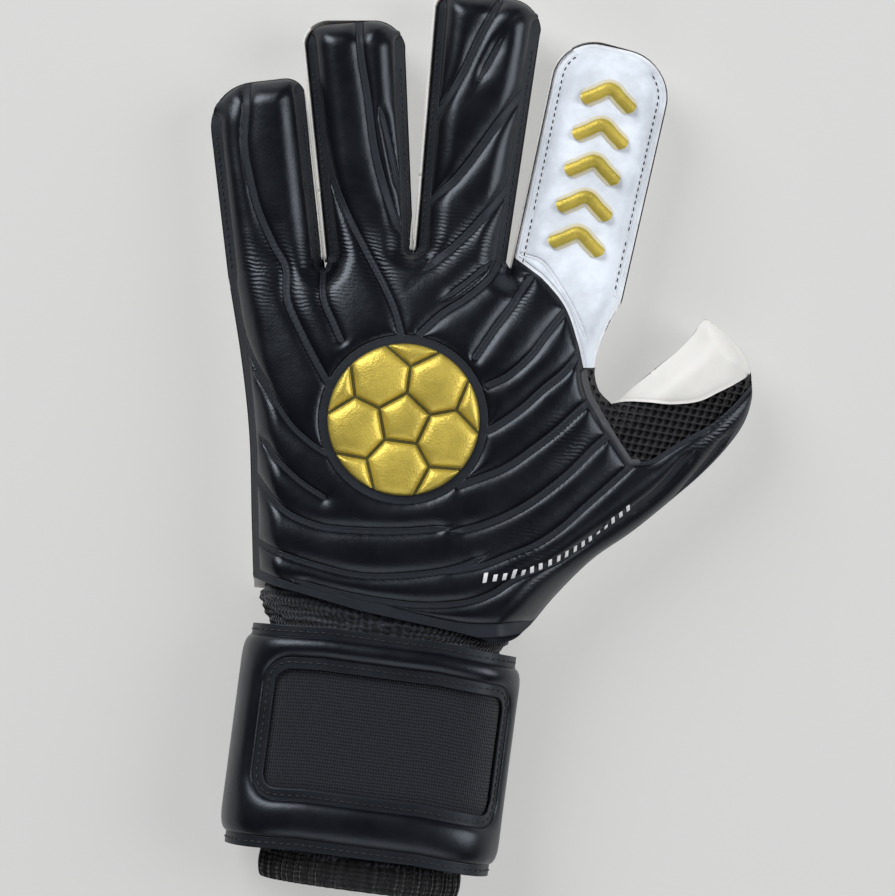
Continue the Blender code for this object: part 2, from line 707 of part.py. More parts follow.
def area(outline):
    """Twice the signed area of an outline, positive when it runs anticlockwise."""
    return sum(
        outline[i - 1].x * here.y - here.x * outline[i - 1].y for i, here in enumerate(outline)
    )


def build_trim():
    """Gold emblem and white print on the backhand."""
    centre = Vector(EMBLEM_CENTRE)
    corners = []
    for k in range(EMBLEM_SIDES):
        angle = math.tau * k / EMBLEM_SIDES
        spoke = Vector((math.cos(angle), math.sin(angle)))
        corners.append((centre + spoke * EMBLEM_RADIUS, EMBLEM_ROUND))
    emblem = crowned("emblem", rounded(corners, 3), 0.0, -GAP - EMBLEM_THICK)
    combine(emblem, crown("under", -GAP), "DIFFERENCE")
    finish_piece(emblem, "emblem", "gold_relief")
    line = [PRINT_START, *bowed(PRINT_START, PRINT_END, PRINT_BOW, 6), PRINT_END]
    side = [point + PRINT_HALF for point in line]
    other = [point - PRINT_HALF for point in line]
    strip = crowned("print", other + side[::-1], 0.0, -GAP - FILM_THICK)
    combine(strip, crown("under", -GAP), "DIFFERENCE")
    finish_piece(strip, "side_print", "white_print")


# --- Cuff

def strap_section(inward, low):
    """The strap's outer section, moved inwards: flat below, round above, as points (x, z)."""
    half, high, radius = STRAP_HALF - inward, STRAP_HIGH - inward, STRAP_CORNER - inward
    return rounded([((-half, low), 0.0), ((half, low), 0.0), ((half, high), radius), ((-half, high), radius)], 5)


def build_sleeve(wrist):
    """Knitted sleeve and its ribbed hem."""
    front = WRIST_LINE + SLEEVE_TUCK
    hem_start = SLEEVE_END + HEM_LENGTH
    def sections(inward, start, end):
        stations = (
            (start, SLEEVE_MOUTH_HALF, SLEEVE_HIGH - SLEEVE_FRONT_FALL, 0.0),
            (WRIST_LINE - SLEEVE_TUCK, SLEEVE_MOUTH_HALF, SLEEVE_HIGH - SLEEVE_MOUTH_FALL, 0.0),
            (STRAP_START - 6 * MM, SLEEVE_MOUTH_HALF, SLEEVE_HIGH, 0.0),
            (end, SLEEVE_END_HALF, SLEEVE_HIGH - SLEEVE_END_FALL, SLEEVE_END_SHIFT),
        )
        return [
            (y, box_section(half - inward, SLEEVE_LOW + inward, high - inward, SLEEVE_CORNER - inward, shift))
            for y, half, high, shift in stations
        ]
    sleeve = sleeve_solid("sleeve", sections(0.0, front, SLEEVE_END))
    hollow = sleeve_solid("hollow", sections(SLEEVE_THICK, front + 5 * MM, SLEEVE_END - 5 * MM))
    combine(sleeve, hollow, "DIFFERENCE")
    ahead = block("ahead", (-REACH, hem_start + GAP / 2, -REACH), (REACH, REACH, REACH))
    finish_piece(cut_piece(sleeve, "piece", ahead), "bandage_sleeve", "black_knit", wrist)
    behind = block("behind", (-REACH, -REACH, -REACH), (REACH, hem_start - GAP / 2, REACH))
    hem = combine(sleeve, behind, "INTERSECT")
    finish_piece(hem, "bandage_hem", "black_knit", wrist)


def build_strap(wrist):
    """Padded frame with its woven window, the band under the wrist and its loop patch."""
    end = STRAP_START - STRAP_LENGTH
    low = STRAP_END_HEIGHT
    frame = across("frame", strap_section(0.0, low), end + STRAP_FLANGE, STRAP_START - STRAP_FLANGE)
    flange = across("flange", strap_section(STRAP_THICK - STRAP_FLANGE_THICK, low), end, STRAP_START)
    combine(frame, flange, "UNION")
    inside = across("inside", strap_section(STRAP_THICK, low - 5 * MM), end - 5 * MM, STRAP_START + 5 * MM)
    combine(frame, inside, "DIFFERENCE")
    window_end = WINDOW_START - WINDOW_LENGTH
    corners = (
        (WINDOW_LEFT, window_end), (WINDOW_RIGHT, window_end),
        (WINDOW_RIGHT, WINDOW_START), (WINDOW_LEFT, WINDOW_START),
    )
    shoulder = STRAP_HIGH - STRAP_CORNER
    opening = solid("opening", rounded([(corner, WINDOW_ROUND) for corner in corners]),
                    shoulder + 4 * MM, STRAP_HIGH + 5 * MM)
    combine(frame, opening, "DIFFERENCE")
    finish_piece(frame, "strap_frame", "black_rubber", wrist)
    panel = across("panel", strap_section(STRAP_THICK + GAP, shoulder), window_end - WINDOW_LAP,
                   WINDOW_START + WINDOW_LAP)
    under = strap_section(STRAP_THICK + GAP + WINDOW_PANEL_THICK, shoulder - 5 * MM)
    combine(panel, across("under", under, end, STRAP_START), "DIFFERENCE")
    side = block("side", (WINDOW_LEFT - WINDOW_LAP, -REACH, -REACH), (REACH, REACH, REACH))
    combine(panel, side, "INTERSECT")
    finish_piece(panel, "strap_window", "charcoal_weave", wrist)
    inner_half = STRAP_HALF - STRAP_THICK
    loop_low = TAB_THICK + GAP + HOOK_THICK + GAP
    band_low = loop_low + LOOP_THICK + GAP
    middle = STRAP_START - STRAP_LENGTH / 2
    band = block(
        "band", (-inner_half + GAP, middle - TAB_WIDTH / 2 - BAND_MARGIN, band_low),
        (inner_half - GAP, middle + TAB_WIDTH / 2 + BAND_MARGIN, band_low + BAND_THICK),
    )
    finish_piece(band, "strap_band", "charcoal_weave", wrist)
    loop = block(
        "loop", (LOOP_LEFT, middle - TAB_WIDTH / 2 + BAND_MARGIN, loop_low),
        (LOOP_RIGHT, middle + TAB_WIDTH / 2 - BAND_MARGIN, loop_low + LOOP_THICK),
    )
    finish_piece(loop, "loop_patch", "hook_and_loop", wrist)
    return middle


def build_tab(wrist, middle):
    """Closing tab on the palm side, with its hook patch and grip."""
    axis = Matrix.Translation((TAB_HINGE_X, middle, TAB_THICK / 2))
    hinge = joint_empty("strap_tab_hinge", axis)
    hinge.parent = wrist
    hinge.matrix_parent_inverse = wrist.matrix_world.inverted()
    bpy.context.view_layer.update()
    corners = (
        ((0.0, -TAB_WIDTH / 2), 0.0), ((TAB_LENGTH, -TAB_WIDTH / 2), TAB_ROUND),
        ((TAB_LENGTH, TAB_WIDTH / 2), TAB_ROUND), ((0.0, TAB_WIDTH / 2), 0.0),
    )
    tab = solid("tab", rounded(corners), 0.0, TAB_THICK)
    place = Matrix.Translation((TAB_HINGE_X, middle, 0.0))
    finish_piece(tab, "strap_tab", "black_rubber", hinge, place)
    hook_low = TAB_THICK + GAP
    hook = block("hook", (HOOK_START, -TAB_WIDTH / 2 + HOOK_MARGIN, hook_low),
                 (HOOK_END, TAB_WIDTH / 2 - HOOK_MARGIN, hook_low + HOOK_THICK))
    finish_piece(hook, "hook_patch", "hook_and_loop", hinge, place)


def build_cuff():
    wrist = joint_empty("wrist_hinge", Matrix.Translation((0.0, WRIST_LINE, CUFF_AXIS_HEIGHT)))
    build_sleeve(wrist)
    middle = build_strap(wrist)
    build_tab(wrist, middle)


clear_scene()
GLOVE = new_collection("goalkeeper_glove", False)
WORK = new_collection("cutters", True)
MATERIALS = {name: make_finish(name) for name in FINISHES}
build_hand()
for finger in FINGERS:
    build_finger(finger)
build_index_relief(FINGERS[-1])
build_thumb()
build_trim()
build_cuff()
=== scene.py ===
"""Looks of a left goalkeeper glove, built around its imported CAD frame.

The glove lies palm down: +X to the thumb side, +Y to the fingertips, +Z through the back of the
hand. Shapes are worked out in millimetres and written to the meshes in metres. One height field
covers the whole back of the glove, so that the panels of hand, fingers and thumb meet unseen.
"""
import logging
import math
from dataclasses import dataclass
from enum import Enum
from typing import Callable

import bmesh
import bpy
import numpy as np
from mathutils import Matrix, Vector


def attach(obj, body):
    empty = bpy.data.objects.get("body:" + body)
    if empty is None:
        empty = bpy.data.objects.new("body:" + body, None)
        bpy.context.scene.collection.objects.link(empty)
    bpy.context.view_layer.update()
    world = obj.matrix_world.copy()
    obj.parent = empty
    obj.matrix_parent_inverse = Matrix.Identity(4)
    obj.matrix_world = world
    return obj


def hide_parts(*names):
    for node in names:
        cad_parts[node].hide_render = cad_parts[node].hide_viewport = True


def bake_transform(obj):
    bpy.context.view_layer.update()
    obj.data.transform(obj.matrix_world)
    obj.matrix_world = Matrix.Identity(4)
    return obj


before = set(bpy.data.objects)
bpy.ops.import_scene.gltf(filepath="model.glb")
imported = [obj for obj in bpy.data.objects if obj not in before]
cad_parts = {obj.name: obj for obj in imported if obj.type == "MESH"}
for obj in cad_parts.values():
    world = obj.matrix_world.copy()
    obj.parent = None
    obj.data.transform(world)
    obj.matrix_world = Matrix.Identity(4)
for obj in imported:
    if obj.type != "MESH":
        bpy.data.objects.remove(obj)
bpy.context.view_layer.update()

MM = 0.001
LOG = logging.getLogger("glove")
Array = np.ndarray
Chart = Callable[[Array, Array], Array]
Surface = Callable[[Array], tuple[Array, dict[str, Array]]]
Points = tuple[tuple[float, float], ...]


# --- Curves and fields, in millimetres

def curve_through(points: Points, per_span: int = 8) -> Array:
    """A smooth line through points.

    Args:
        points: the points that it passes, in order.
        per_span: how many pieces lie between two of them.

    Returns:
        The line as an array of points.
    """
    ends = np.array(points, float)
    ends = np.vstack([2 * ends[0] - ends[1], ends, 2 * ends[-1] - ends[-2]])
    t = np.linspace(0, 1, per_span, endpoint=False)[:, None]
    spans = []
    for a, b, c, d in zip(ends, ends[1:], ends[2:], ends[3:]):
        spans.append(0.5 * (2 * b + (c - a) * t + (2 * a - 5 * b + 4 * c - d) * t**2
                            + (3 * b - a - 3 * c + d) * t**3))
    return np.vstack([*spans, ends[-2][None]])


def lengths_along(line: Array) -> Array:
    """Distance from the line's start to each of its points."""
    return np.concatenate([[0.0], np.cumsum(np.hypot(*np.diff(line, axis=0).T))])


def along_line(line: Array, share: Array) -> Array:
    """Points at shares, from 0 to 1, of the line's length.

    Args:
        line: the line's points.
        share: the shares.

    Returns:
        The points, one a row.
    """
    place = lengths_along(line)
    wanted = share * place[-1]
    return np.stack([np.interp(wanted, place, line[:, k]) for k in range(line.shape[1])], axis=-1)


def line_distance(xy: Array, line: Array, limit: float = 30.0) -> tuple[Array, Array]:
    """How far points are from a line, and where along it they are nearest.

    Args:
        xy: the points, one a row.
        line: the line's points.
        limit: a distance past which the answer may stay at the limit.

    Returns:
        The distances, and the lengths along the line.
    """
    distance = np.full(len(xy), limit)
    place = np.zeros(len(xy))
    close = ((xy > line.min(0) - limit) & (xy < line.max(0) + limit)).all(axis=1)
    near = xy[close]
    best, where = distance[close], place[close]
    starts = lengths_along(line)
    for a, b, start in zip(line, line[1:], starts):
        step = b - a
        size = step @ step
        if size < 1e-12:
            continue
        share = np.clip((near - a) @ step / size, 0, 1)
        apart = near - a - share[:, None] * step
        gap = np.sqrt((apart**2).sum(1))
        better = gap < best
        best[better] = gap[better]
        where[better] = start + share[better] * math.sqrt(size)
    distance[close], place[close] = best, where
    return distance, place


def ease(value: Array, low: float, high: float) -> Array:
    """0 below low, 1 above high and a smooth step between."""
    t = np.clip((value - low) / (high - low), 0, 1)
    return t * t * (3 - 2 * t)


def read_table(value: Array, pairs: Points) -> Array:
    """A smooth curve through (place, height) pairs, read at values."""
    line = curve_through(pairs, 12)
    return np.interp(value, line[:, 0], line[:, 1])


def soft_less(a: Array, b: Array, round_off: float) -> Array:
    """The lesser of two fields, rounded where they cross."""
    return (a + b - np.sqrt((a - b) ** 2 + round_off**2)) / 2


# --- The hand's digits and outline

@dataclass(frozen=True)
class Finger:
    """One finger, with its own frame: X across it and Y from its hinge line to its tip."""

    name: str
    base: tuple[float, float]
    lean: float
    length: float
    bend: float
    half_base: float
    half_tip: float
    corners: tuple[float, float]
    palm_shows: tuple[float, float] = (0.3, 0.3)

    def axes(self) -> tuple[Array, Array]:
        """Directions across and along the finger."""
        lean = math.radians(self.lean)
        return np.array((math.cos(lean), -math.sin(lean))), np.array((math.sin(lean), math.cos(lean)))

    def place(self, local: Array) -> Array:
        """Points of the finger's frame in the glove's frame.

        Args:
            local: points of the finger's frame.

        Returns:
            Points of the glove's frame.
        """
        across, ahead = self.axes()
        local = np.atleast_2d(np.asarray(local, float))
        return np.array(self.base) + local[:, :1] * across + local[:, 1:] * ahead

    def local(self, xy: Array) -> Array:
        """Points of the glove's frame in the finger's frame.

        Args:
            xy: points of the glove's frame.

        Returns:
            Points of the finger's frame.
        """
        across, ahead = self.axes()
        from_base = xy - np.array(self.base)
        return np.stack([from_base @ across, from_base @ ahead], axis=-1)

    def half(self, y: float) -> float:
        """Half the width at a distance from the hinge line."""
        share = min(max(y / self.length, 0.0), 1.0)
        return self.half_base + (self.half_tip - self.half_base) * share

    def side(self, sign: int, start: float, spread: float = 0.0) -> Array:
        """One side of the outline, from start to the middle of the tip's corner.

        Args:
            sign: -1 for the left side and 1 for the right.
            start: where it starts along the finger.
            spread: how far outside the outline it lies.

        Returns:
            The line, from start to the tip.
        """
        radius = self.corners[0 if sign < 0 else 1] + spread
        end = self.length + spread
        half = self.half(self.length) + spread
        points = [(sign * (self.half(y) + spread), y) for y in np.linspace(start, end - radius, 12)]
        for angle in np.radians(np.linspace(9, 45, 5)):
            points.append((sign * (half - radius + radius * math.cos(angle)),
                           end - radius + radius * math.sin(angle)))
        return self.place(points)

    def tip(self, spread: float = 0.0) -> Array:
        """The end of the outline, between the middles of its corners.

        Args:
            spread: how far outside the outline it lies.

        Returns:
            The line, from left to right.
        """
        end, half = self.length + spread, self.half(self.length) + spread
        points = []
        for sign, radius, turns in ((-1, self.corners[0] + spread, (45, 90)),
                                    (1, self.corners[1] + spread, (90, 45))):
            for angle in np.radians(np.linspace(*turns, 6)):
                points.append((sign * (half - radius + radius * math.cos(angle)),
                               end - radius + radius * math.sin(angle)))
        return self.place(points)

    def wide_tip(self, spread: tuple[float, float]) -> Array:
        """The end of an outline that is wider by a different amount on each side.

        Args:
            spread: how far outside the outline its left and right halves lie.

        Returns:
            The line, from left to right.
        """
        one, other = self.tip(spread[0]), self.tip(spread[1])
        middle = len(one) // 2
        return np.vstack([one[:middle], other[middle:]])

    def keep_inside(self, xy: Array, spread: tuple[float, float]) -> Array:
        """Points moved to the round corners of the tip where they lie outside them.

        Args:
            xy: points of the glove's frame.
            spread: how far outside the outline they may lie, left and right.

        Returns:
            The points, moved where they had to be.
        """
        across, ahead = self.axes()
        local = self.local(xy)
        for k, sign in enumerate((-1, 1)):
            radius = self.corners[k] + spread[k]
            centre = np.array((sign * (self.half(self.length) + spread[k] - radius),
                               self.length + spread[k] - radius))
            away = local - centre
            corner = (away[:, 0] * sign > 0) & (away[:, 1] > 0)
            gap = np.hypot(*away.T)
            shrink = np.where(corner & (gap > radius), radius / np.maximum(gap, 1e-9), 1.0)
            local = centre + away * shrink[:, None]
        return np.array(self.base) + local[:, :1] * across + local[:, 1:] * ahead

    def cross(self, y: float, spread: float = 0.0) -> Array:
        """The line across the finger at a distance from its hinge line."""
        half = self.half(y) + spread
        return self.place([(-half, y), (half, y)])


FINGERS = {
    "pinky": Finger("pinky", (-48.5, 47.0), -14.0, 60.0, 29.0, 15.0, 15.2, (14.0, 6.0)),
    "ring": Finger("ring", (-20.0, 57.0), -11.6, 72.5, 36.0, 13.3, 15.5, (7.0, 10.0),
                   (1.3, 0.3)),
    "middle": Finger("middle", (8.5, 61.0), -0.9, 80.5, 40.0, 14.0, 16.6, (6.0, 10.0),
                     (1.5, 0.3)),
    "index": Finger("index", (42.5, 54.0), 5.0, 77.0, 38.0, 17.8, 18.3, (13.0, 15.0),
                    (0.8, 0.4)),
}
HINGE_BACK = 2.0  # finger pieces start this far behind their hinge line
HINGE_AHEAD = 15.0  # and follow the finger wholly from here
MIDDLE_REACH = 11.0  # half of the stretch that bends at a middle hinge
SEAM_Z = 15.5  # where backs and palm meet on the sides
RELIEF_DEPTH = 2.7
PALM_SHELL = 2.4  # thickness of the palm side's pieces
FADE_LENGTH = 11.0  # a groove that fades out does so over this length

WRIST_Y = -53.0
WRIST_LEFT = (-43.0, -49.0)
WRIST_RIGHT = (45.0, WRIST_Y)
THUMB_IN = (61.5, 19.5)
THUMB_OUT = (83.0, -8.5)
THUMB_TIP_HINGE = (74.97, 32.99)
THUMB_LEAN = 52.5
THUMB_TIP_LEAN = 37.6
LEFT_SIDE = curve_through((WRIST_LEFT, (-46.0, -30.0), (-50.0, -5.0), (-55.5, 18.0), (-63.0, 43.4)))
THUMB_SIDE = curve_through((WRIST_RIGHT, (52.0, -42.0), (62.0, -29.5), (73.0, -19.5), (83.5, -8.5),
                            (92.0, 1.0), (99.0, 10.5), (103.5, 19.0), (105.0, 27.0), (104.0, 34.0)))
THUMB_END = curve_through(((104.0, 34.0), (102.5, 38.0), (99.0, 42.5), (94.0, 46.5), (90.0, 48.8),
                           (87.5, 49.8), (85.8, 48.5)))
THUMB_INSIDE = curve_through(((85.8, 48.5), (84.0, 43.5), (80.0, 38.0), (75.0, 33.0), (70.0, 27.6),
                              (65.5, 22.8), (61.5, 19.5)))
WEB_EDGE = curve_through(((61.5, 19.5), (56.5, 24.0), (54.6, 32.0), (56.6, 42.0), (60.2, 52.5)))

# Panels of the back
INDEX_SEAM = curve_through(((25.0, 61.5), (30.0, 58.2), (35.0, 54.8), (40.5, 49.8), (44.0, 45.0),
                            (47.4, 37.5), (50.3, 29.6)))
WEB_SEAM = curve_through(((50.3, 29.6), (53.0, 22.0), (58.0, 15.0), (64.0, 7.8), (69.0, 2.0)))
STRIP_SEAM = curve_through(((69.0, 2.0), (75.0, 3.6), (80.0, 7.6), (86.0, 12.4), (92.0, 16.8),
                            (98.0, 23.2), (104.2, 31.5)))
LATEX_SEAM = curve_through(((61.5, 19.5), (66.0, 20.8), (72.0, 21.3), (80.0, 21.8), (88.0, 23.8),
                            (94.0, 27.6), (99.0, 31.0), (103.6, 34.6)))


class Silhouette:
    """Edges where the back falls to the side seam, each with the width of its roll."""

    def __init__(self) -> None:
        """Gathers the edges of hand, fingers and thumb."""
        self.edges: list[tuple[Array, float]] = [
            (LEFT_SIDE, 10.0), (THUMB_SIDE, 11.0), (THUMB_END, 7.0), (THUMB_INSIDE, 9.0), (WEB_EDGE, 8.0)]
        for finger in FINGERS.values():
            for sign in (-1, 1):
                self.edges.append((finger.side(sign, 0.0), 9.5))
            self.edges.append((finger.tip(), 8.0))

    def rise(self, xy: Array) -> Array:
        """0 on the edge and 1 where the roll ends.

        Args:
            xy: points of the plane.

        Returns:
            The share at each point.
        """
        share = np.ones(len(xy))
        for line, roll in self.edges:
            share = np.minimum(share, line_distance(xy, line, roll + 1)[0] / roll)
        return np.sin(math.pi / 2 * np.clip(share, 0, 1))

    def apart(self, xy: Array) -> Array:
        """Distance to the nearest edge, up to 12 mm.

        Args:
            xy: points of the plane.

        Returns:
            The distance at each point.
        """
        found = np.full(len(xy), 12.0)
        for line, _ in self.edges:
            found = np.minimum(found, line_distance(xy, line, 12.0)[0])
        return found


SILHOUETTE = Silhouette()
ARCH = ((-90.0, 17.0), (-75.0, 21.0), (-62.0, 25.5), (-50.0, 28.5), (-30.0, 33.0), (0.0, 34.5),
        (30.0, 33.3), (58.0, 29.5), (75.0, 27.4), (90.0, 26.0), (110.0, 25.0))
KNUCKLES = ((-80.0, 38.0), (-63.0, 43.0), (-48.5, 47.0), (-20.0, 57.0), (8.5, 61.0), (42.5, 54.0),
            (62.0, 52.0), (110.0, 52.0))
FALL = ((-140.0, 34.5), (-60.0, 34.5), (-40.0, 34.3), (-20.0, 31.5), (0.0, 26.8), (12.0, 25.2), (30.0, 25.0),
        (120.0, 25.0))


def crown(xy: Array) -> Array:
    """Height of the back away from its edges, without its relief."""
    ahead = xy[:, 1] - read_table(xy[:, 0], KNUCKLES)
    return soft_less(read_table(xy[:, 0], ARCH), read_table(ahead, FALL), 2.0) - RELIEF_DEPTH + 0.4


def back_height(xy: Array) -> Array:
    """Height of the back without its relief."""
    return SEAM_Z + (crown(xy) - SEAM_Z) * SILHOUETTE.rise(xy)


# --- Relief: pillows of foam between lines

@dataclass(frozen=True)
class Line:
    """A line where the foam is pressed or sewn flat.

    Args:
        path: the middle of the flat band.
        half: half the band's width.
        fades: whether it runs out at its start and at its end.
    """

    path: Array
    half: float = 0.85
    fades: tuple[bool, bool] = (False, False)


@dataclass(frozen=True)
class Relief:
    """Pillows that rise between lines.

    Args:
        lines: the flat bands.
        depth: how high a wide pillow rises.
        reach: how quickly it rises.
    """

    lines: tuple[Line, ...]
    depth: float = RELIEF_DEPTH
    reach: float = 5.0

    def read(self, xy: Array) -> tuple[Array, Array]:
        """Height of the pillows, and the distance to the nearest band's edge, negative inside it.

        Args:
            xy: points of the plane.

        Returns:
            The heights, and the distances.
        """
        total = np.full(len(xy), 30.0**-3)
        gap = np.full(len(xy), 6.0)
        for line in self.lines:
            apart, place = line_distance(xy, line.path, 24.0)
            length = lengths_along(line.path)[-1]
            fade = np.zeros(len(xy))
            if line.fades[0]:
                fade = np.maximum(fade, 1 - ease(place, 0.0, FADE_LENGTH))
            if line.fades[1]:
                fade = np.maximum(fade, 1 - ease(length - place, 0.0, FADE_LENGTH))
            total += (np.maximum(apart - line.half, 0) + 4.0 * fade + 0.1) ** -3
            gap = np.minimum(gap, apart - line.half * (1 - fade) + 1.2 * fade)
        rounded = total ** (-1 / 3)
        return self.depth * np.sqrt(1 - np.exp(-rounded / self.reach)), gap


def offset_line(path: Array, distance: float) -> Array:
    """A line beside another, to the left of its way for a positive distance.

    Args:
        path: the line.
        distance: how far beside it.

    Returns:
        The other line, point for point.
    """
    way = np.gradient(path, axis=0)
    way /= np.hypot(*way.T)[:, None]
    return path + np.stack([-way[:, 1], way[:, 0]], axis=-1) * distance


EMBLEM_CENTRE = np.array((-2.5, 6.0))
EMBLEM_FLOOR = 25.5


def ring_line(centre: Array, radius: float, sides: int = 48) -> Array:
    """A closed circle as a line."""
    angles = np.linspace(0, math.tau, sides + 1)
    return centre + radius * np.stack([np.cos(angles), np.sin(angles)], axis=-1)


def grooves(paths: tuple[tuple[Points, float, bool, bool], ...]) -> list[Line]:
    """Lines from (points, half width, fades at start, fades at end) rows."""
    return [Line(curve_through(points), half, (start, end)) for points, half, start, end in paths]


HAND_GROOVES = (
    (((-1, 33), (5, 40), (12, 46), (18, 53), (21, 62)), 0.9, False, False),
    (((17, 28), (22, 38), (26, 45), (31, 55)), 0.9, False, False),
    (((22, 20), (28, 24), (34, 31), (38, 38), (43.5, 47)), 0.9, False, False),
    (((18, 3), (25, 7), (33, 14), (39, 21), (45, 27.5), (49, 34)), 0.95, False, False),
    (((17, -12), (30, -5), (38, 2), (45, 9), (50, 15), (54.5, 20)), 0.95, False, False),
    (((10, -27.5), (20, -25.5), (30, -21), (40, -14), (50, -4), (57, 5), (62, 10.5)), 0.95, True, False),
    (((8, -41), (25, -36.5), (35, -31.5), (43, -27), (50, -21), (57, -13), (64, -5), (70, 2)), 0.8, True,
     False),
    (((-55, 19), (-50, 15), (-44, 8), (-37, 0), (-30, -5), (-25, -7.5)), 0.8, True, False),
    (((-50, 0), (-45, -5), (-40, -11), (-32, -17), (-24, -21)), 0.8, True, False),
    (((-46, -17), (-42, -21), (-35, -27), (-25, -30), (-15, -30), (0, -28.5), (15, -25.5),
      (22, -24)), 0.9, False, True),
    (((-44, -37), (-35, -40), (-25, -42), (-12, -43.5), (0, -42.5), (15, -39), (25, -34.5),
      (33, -28)), 0.8, False, True),
    (((-36, -46.5), (-25, -48.5), (-12, -50), (0, -50.5), (12, -50), (24, -47.5), (32, -43.5), (38, -38.5),
      (50, -31), (60, -23), (70, -14), (78, -6), (85, 4), (91, 13.5)), 0.8, True, True),
    (((46, -46), (56, -38), (65, -29), (74, -20), (82, -11), (88, -2), (95, 9), (101, 21)), 0.6, True, True),
    (((-34, 50), (-32, 40), (-28, 33), (-25, 28)), 0.9, False, False),
    (((-60, 40), (-57, 30), (-52, 20), (-46, 12), (-38, 4)), 0.6, True, True),
)
PINKY_GROOVES = (
    (((-65.2, 105), (-64, 97), (-63, 85), (-60, 75), (-56, 65), (-50, 55), (-45, 48), (-43, 38), (-37, 28),
      (-30, 18), (-26, 13)), 1.0, False, False),
)
RING_GROOVES = (
    (((-33, 130), (-30.8, 118), (-27, 105), (-23, 90), (-19, 79), (-13.5, 67), (-9, 60.5),
      (-7.5, 58)), 1.0, False, True),
    (((-25.5, 108), (-21, 97), (-17, 86), (-14, 77), (-11.5, 70)), 0.7, True, True),
    (((-43, 112), (-41.5, 100), (-38, 88), (-34, 78), (-28, 67), (-22, 58), (-15, 48), (-10, 40),
      (-6.5, 32)), 0.9, True, False),
)
MIDDLE_GROOVES = (
    (((10, 139), (5.5, 128), (2, 117), (-1.5, 108), (-5, 101)), 0.9, False, False),
    (((23, 116), (18, 108), (13, 99), (7, 88), (2, 80.5), (-5, 73)), 1.0, False, False),
    (((22, 86), (15, 74), (8, 64), (-2, 52.5), (-6, 47)), 1.0, False, True),
    (((22, 63), (13, 52.5), (5.5, 45), (0, 39.5)), 0.7, True, True),
    (((15, 135), (11.5, 126), (8, 117), (4.5, 108)), 0.6, True, True),
)
FLANGE = 3.2
TIP_FLANGE = 0.5


def finger_lines(finger: Finger) -> list[Line]:
    """The sewn flanges on a finger's sides and the pressed edge round its tip.

    Args:
        finger: the finger.

    Returns:
        The lines of its two sides and its tip.
    """
    lines = [Line(finger.side(sign, 0.5)[:-4], FLANGE) for sign in (-1, 1)]
    lines.append(Line(finger.tip(), TIP_FLANGE))
    return lines


def black_relief() -> Relief:
    """Relief of the hand's back and of the little, ring and middle fingers.

    Returns:
        The relief.
    """
    lines = grooves(HAND_GROOVES + PINKY_GROOVES + RING_GROOVES + MIDDLE_GROOVES)
    for name in ("pinky", "ring", "middle"):
        lines += finger_lines(FINGERS[name])
    lines.append(Line(LEFT_SIDE, 2.6))
    lines.append(Line(THUMB_SIDE, 0.6))
    lines.append(Line(curve_through(((-43, -48), (-25, -51.5), (0, -54), (25, -56), (45, -53))), 2.0))
    lines.append(Line(INDEX_SEAM, 0.9))
    lines.append(Line(WEB_SEAM, 1.6))
    lines.append(Line(STRIP_SEAM, 1.2))
    lines.append(Line(ring_line(EMBLEM_CENTRE, EMBLEM_FLOOR - 5.0), 5.6))
    lines.append(Line(ring_line(EMBLEM_CENTRE, 11.0), 11.0))
    return Relief(tuple(lines))


INDEX_EDGE = 3.0


def white_relief() -> Relief:
    """Relief of the index finger's white panel.

    Returns:
        The relief.
    """
    index = FINGERS["index"]
    lines = [Line(index.side(sign, 0.5), 1.4) for sign in (-1, 1)]
    lines.append(Line(index.tip(), 1.4))
    lines += [Line(INDEX_SEAM, 0.9), Line(WEB_EDGE, 1.2)]
    for sign in (-1, 1):
        lines.append(Line(offset_line(index.side(sign, 0.5), sign * INDEX_EDGE), 0.35))
    lines.append(Line(curve_through(((27.5, 62.3), (34, 60.3), (40, 54), (46, 46), (50.5, 37.5), (53, 31))),
                      0.35, (False, True)))
    return Relief(tuple(lines), 1.5, 3.0)


BLACK_RELIEF = black_relief()
WHITE_RELIEF = white_relief()
PLAIN_RELIEF = Relief((Line(LATEX_SEAM, 0.9), Line(STRIP_SEAM, 0.8), Line(THUMB_END, 0.6),
                       Line(curve_through(((86, 49), (93, 46.8), (101, 37.2), (103, 35))), 0.2)), 1.2, 3.0)
CREASE_SPOTS = ((-36, 45, 9), (-28, 56, 7), (-18, 54, 9), (-8, 58, 7), (8, 61, 10), (-50, 47, 10),
                (92, 20, 8), (96, 12, 8), (30, 46, 5), (48, 6, 6), (40, -30, 7))


def crease_mask(xy: Array) -> Array:
    """Where the foam has fine cross wrinkles, from 0 to 1.

    Args:
        xy: points of the plane.

    Returns:
        The mask at each point.
    """
    mask = np.zeros(len(xy))
    for x, y, size in CREASE_SPOTS:
        mask = np.maximum(mask, np.exp(-(((xy - (x, y)) / size) ** 2).sum(1)))
    return mask


def with_relief(height: Callable[[Array], Array], relief: Relief) -> Surface:
    """A surface that lies at a height and carries relief, pushed out square to it.

    Args:
        height: the plain height over points of the plane.
        relief: the pillows on it.

    Returns:
        A function from points of the plane to points in space and the piece's attributes.
    """
    def surface(xy: Array) -> tuple[Array, dict[str, Array]]:
        """The relief on its height.

        Args:
            xy: points of the plane.

        Returns:
            Points in space, with their attributes.
        """
        step = 0.4
        base = height(xy)
        slope_x = (height(xy + (step, 0)) - height(xy - (step, 0))) / (2 * step)
        slope_y = (height(xy + (0, step)) - height(xy - (0, step))) / (2 * step)
        normal = np.stack([-slope_x, -slope_y, np.ones(len(xy))], axis=-1)
        normal /= np.linalg.norm(normal, axis=1)[:, None]
        rise, gap = relief.read(xy)
        points = np.column_stack([xy, base]) + normal * rise[:, None]
        return points, {"gap": gap, "crease": crease_mask(xy)}
    return surface


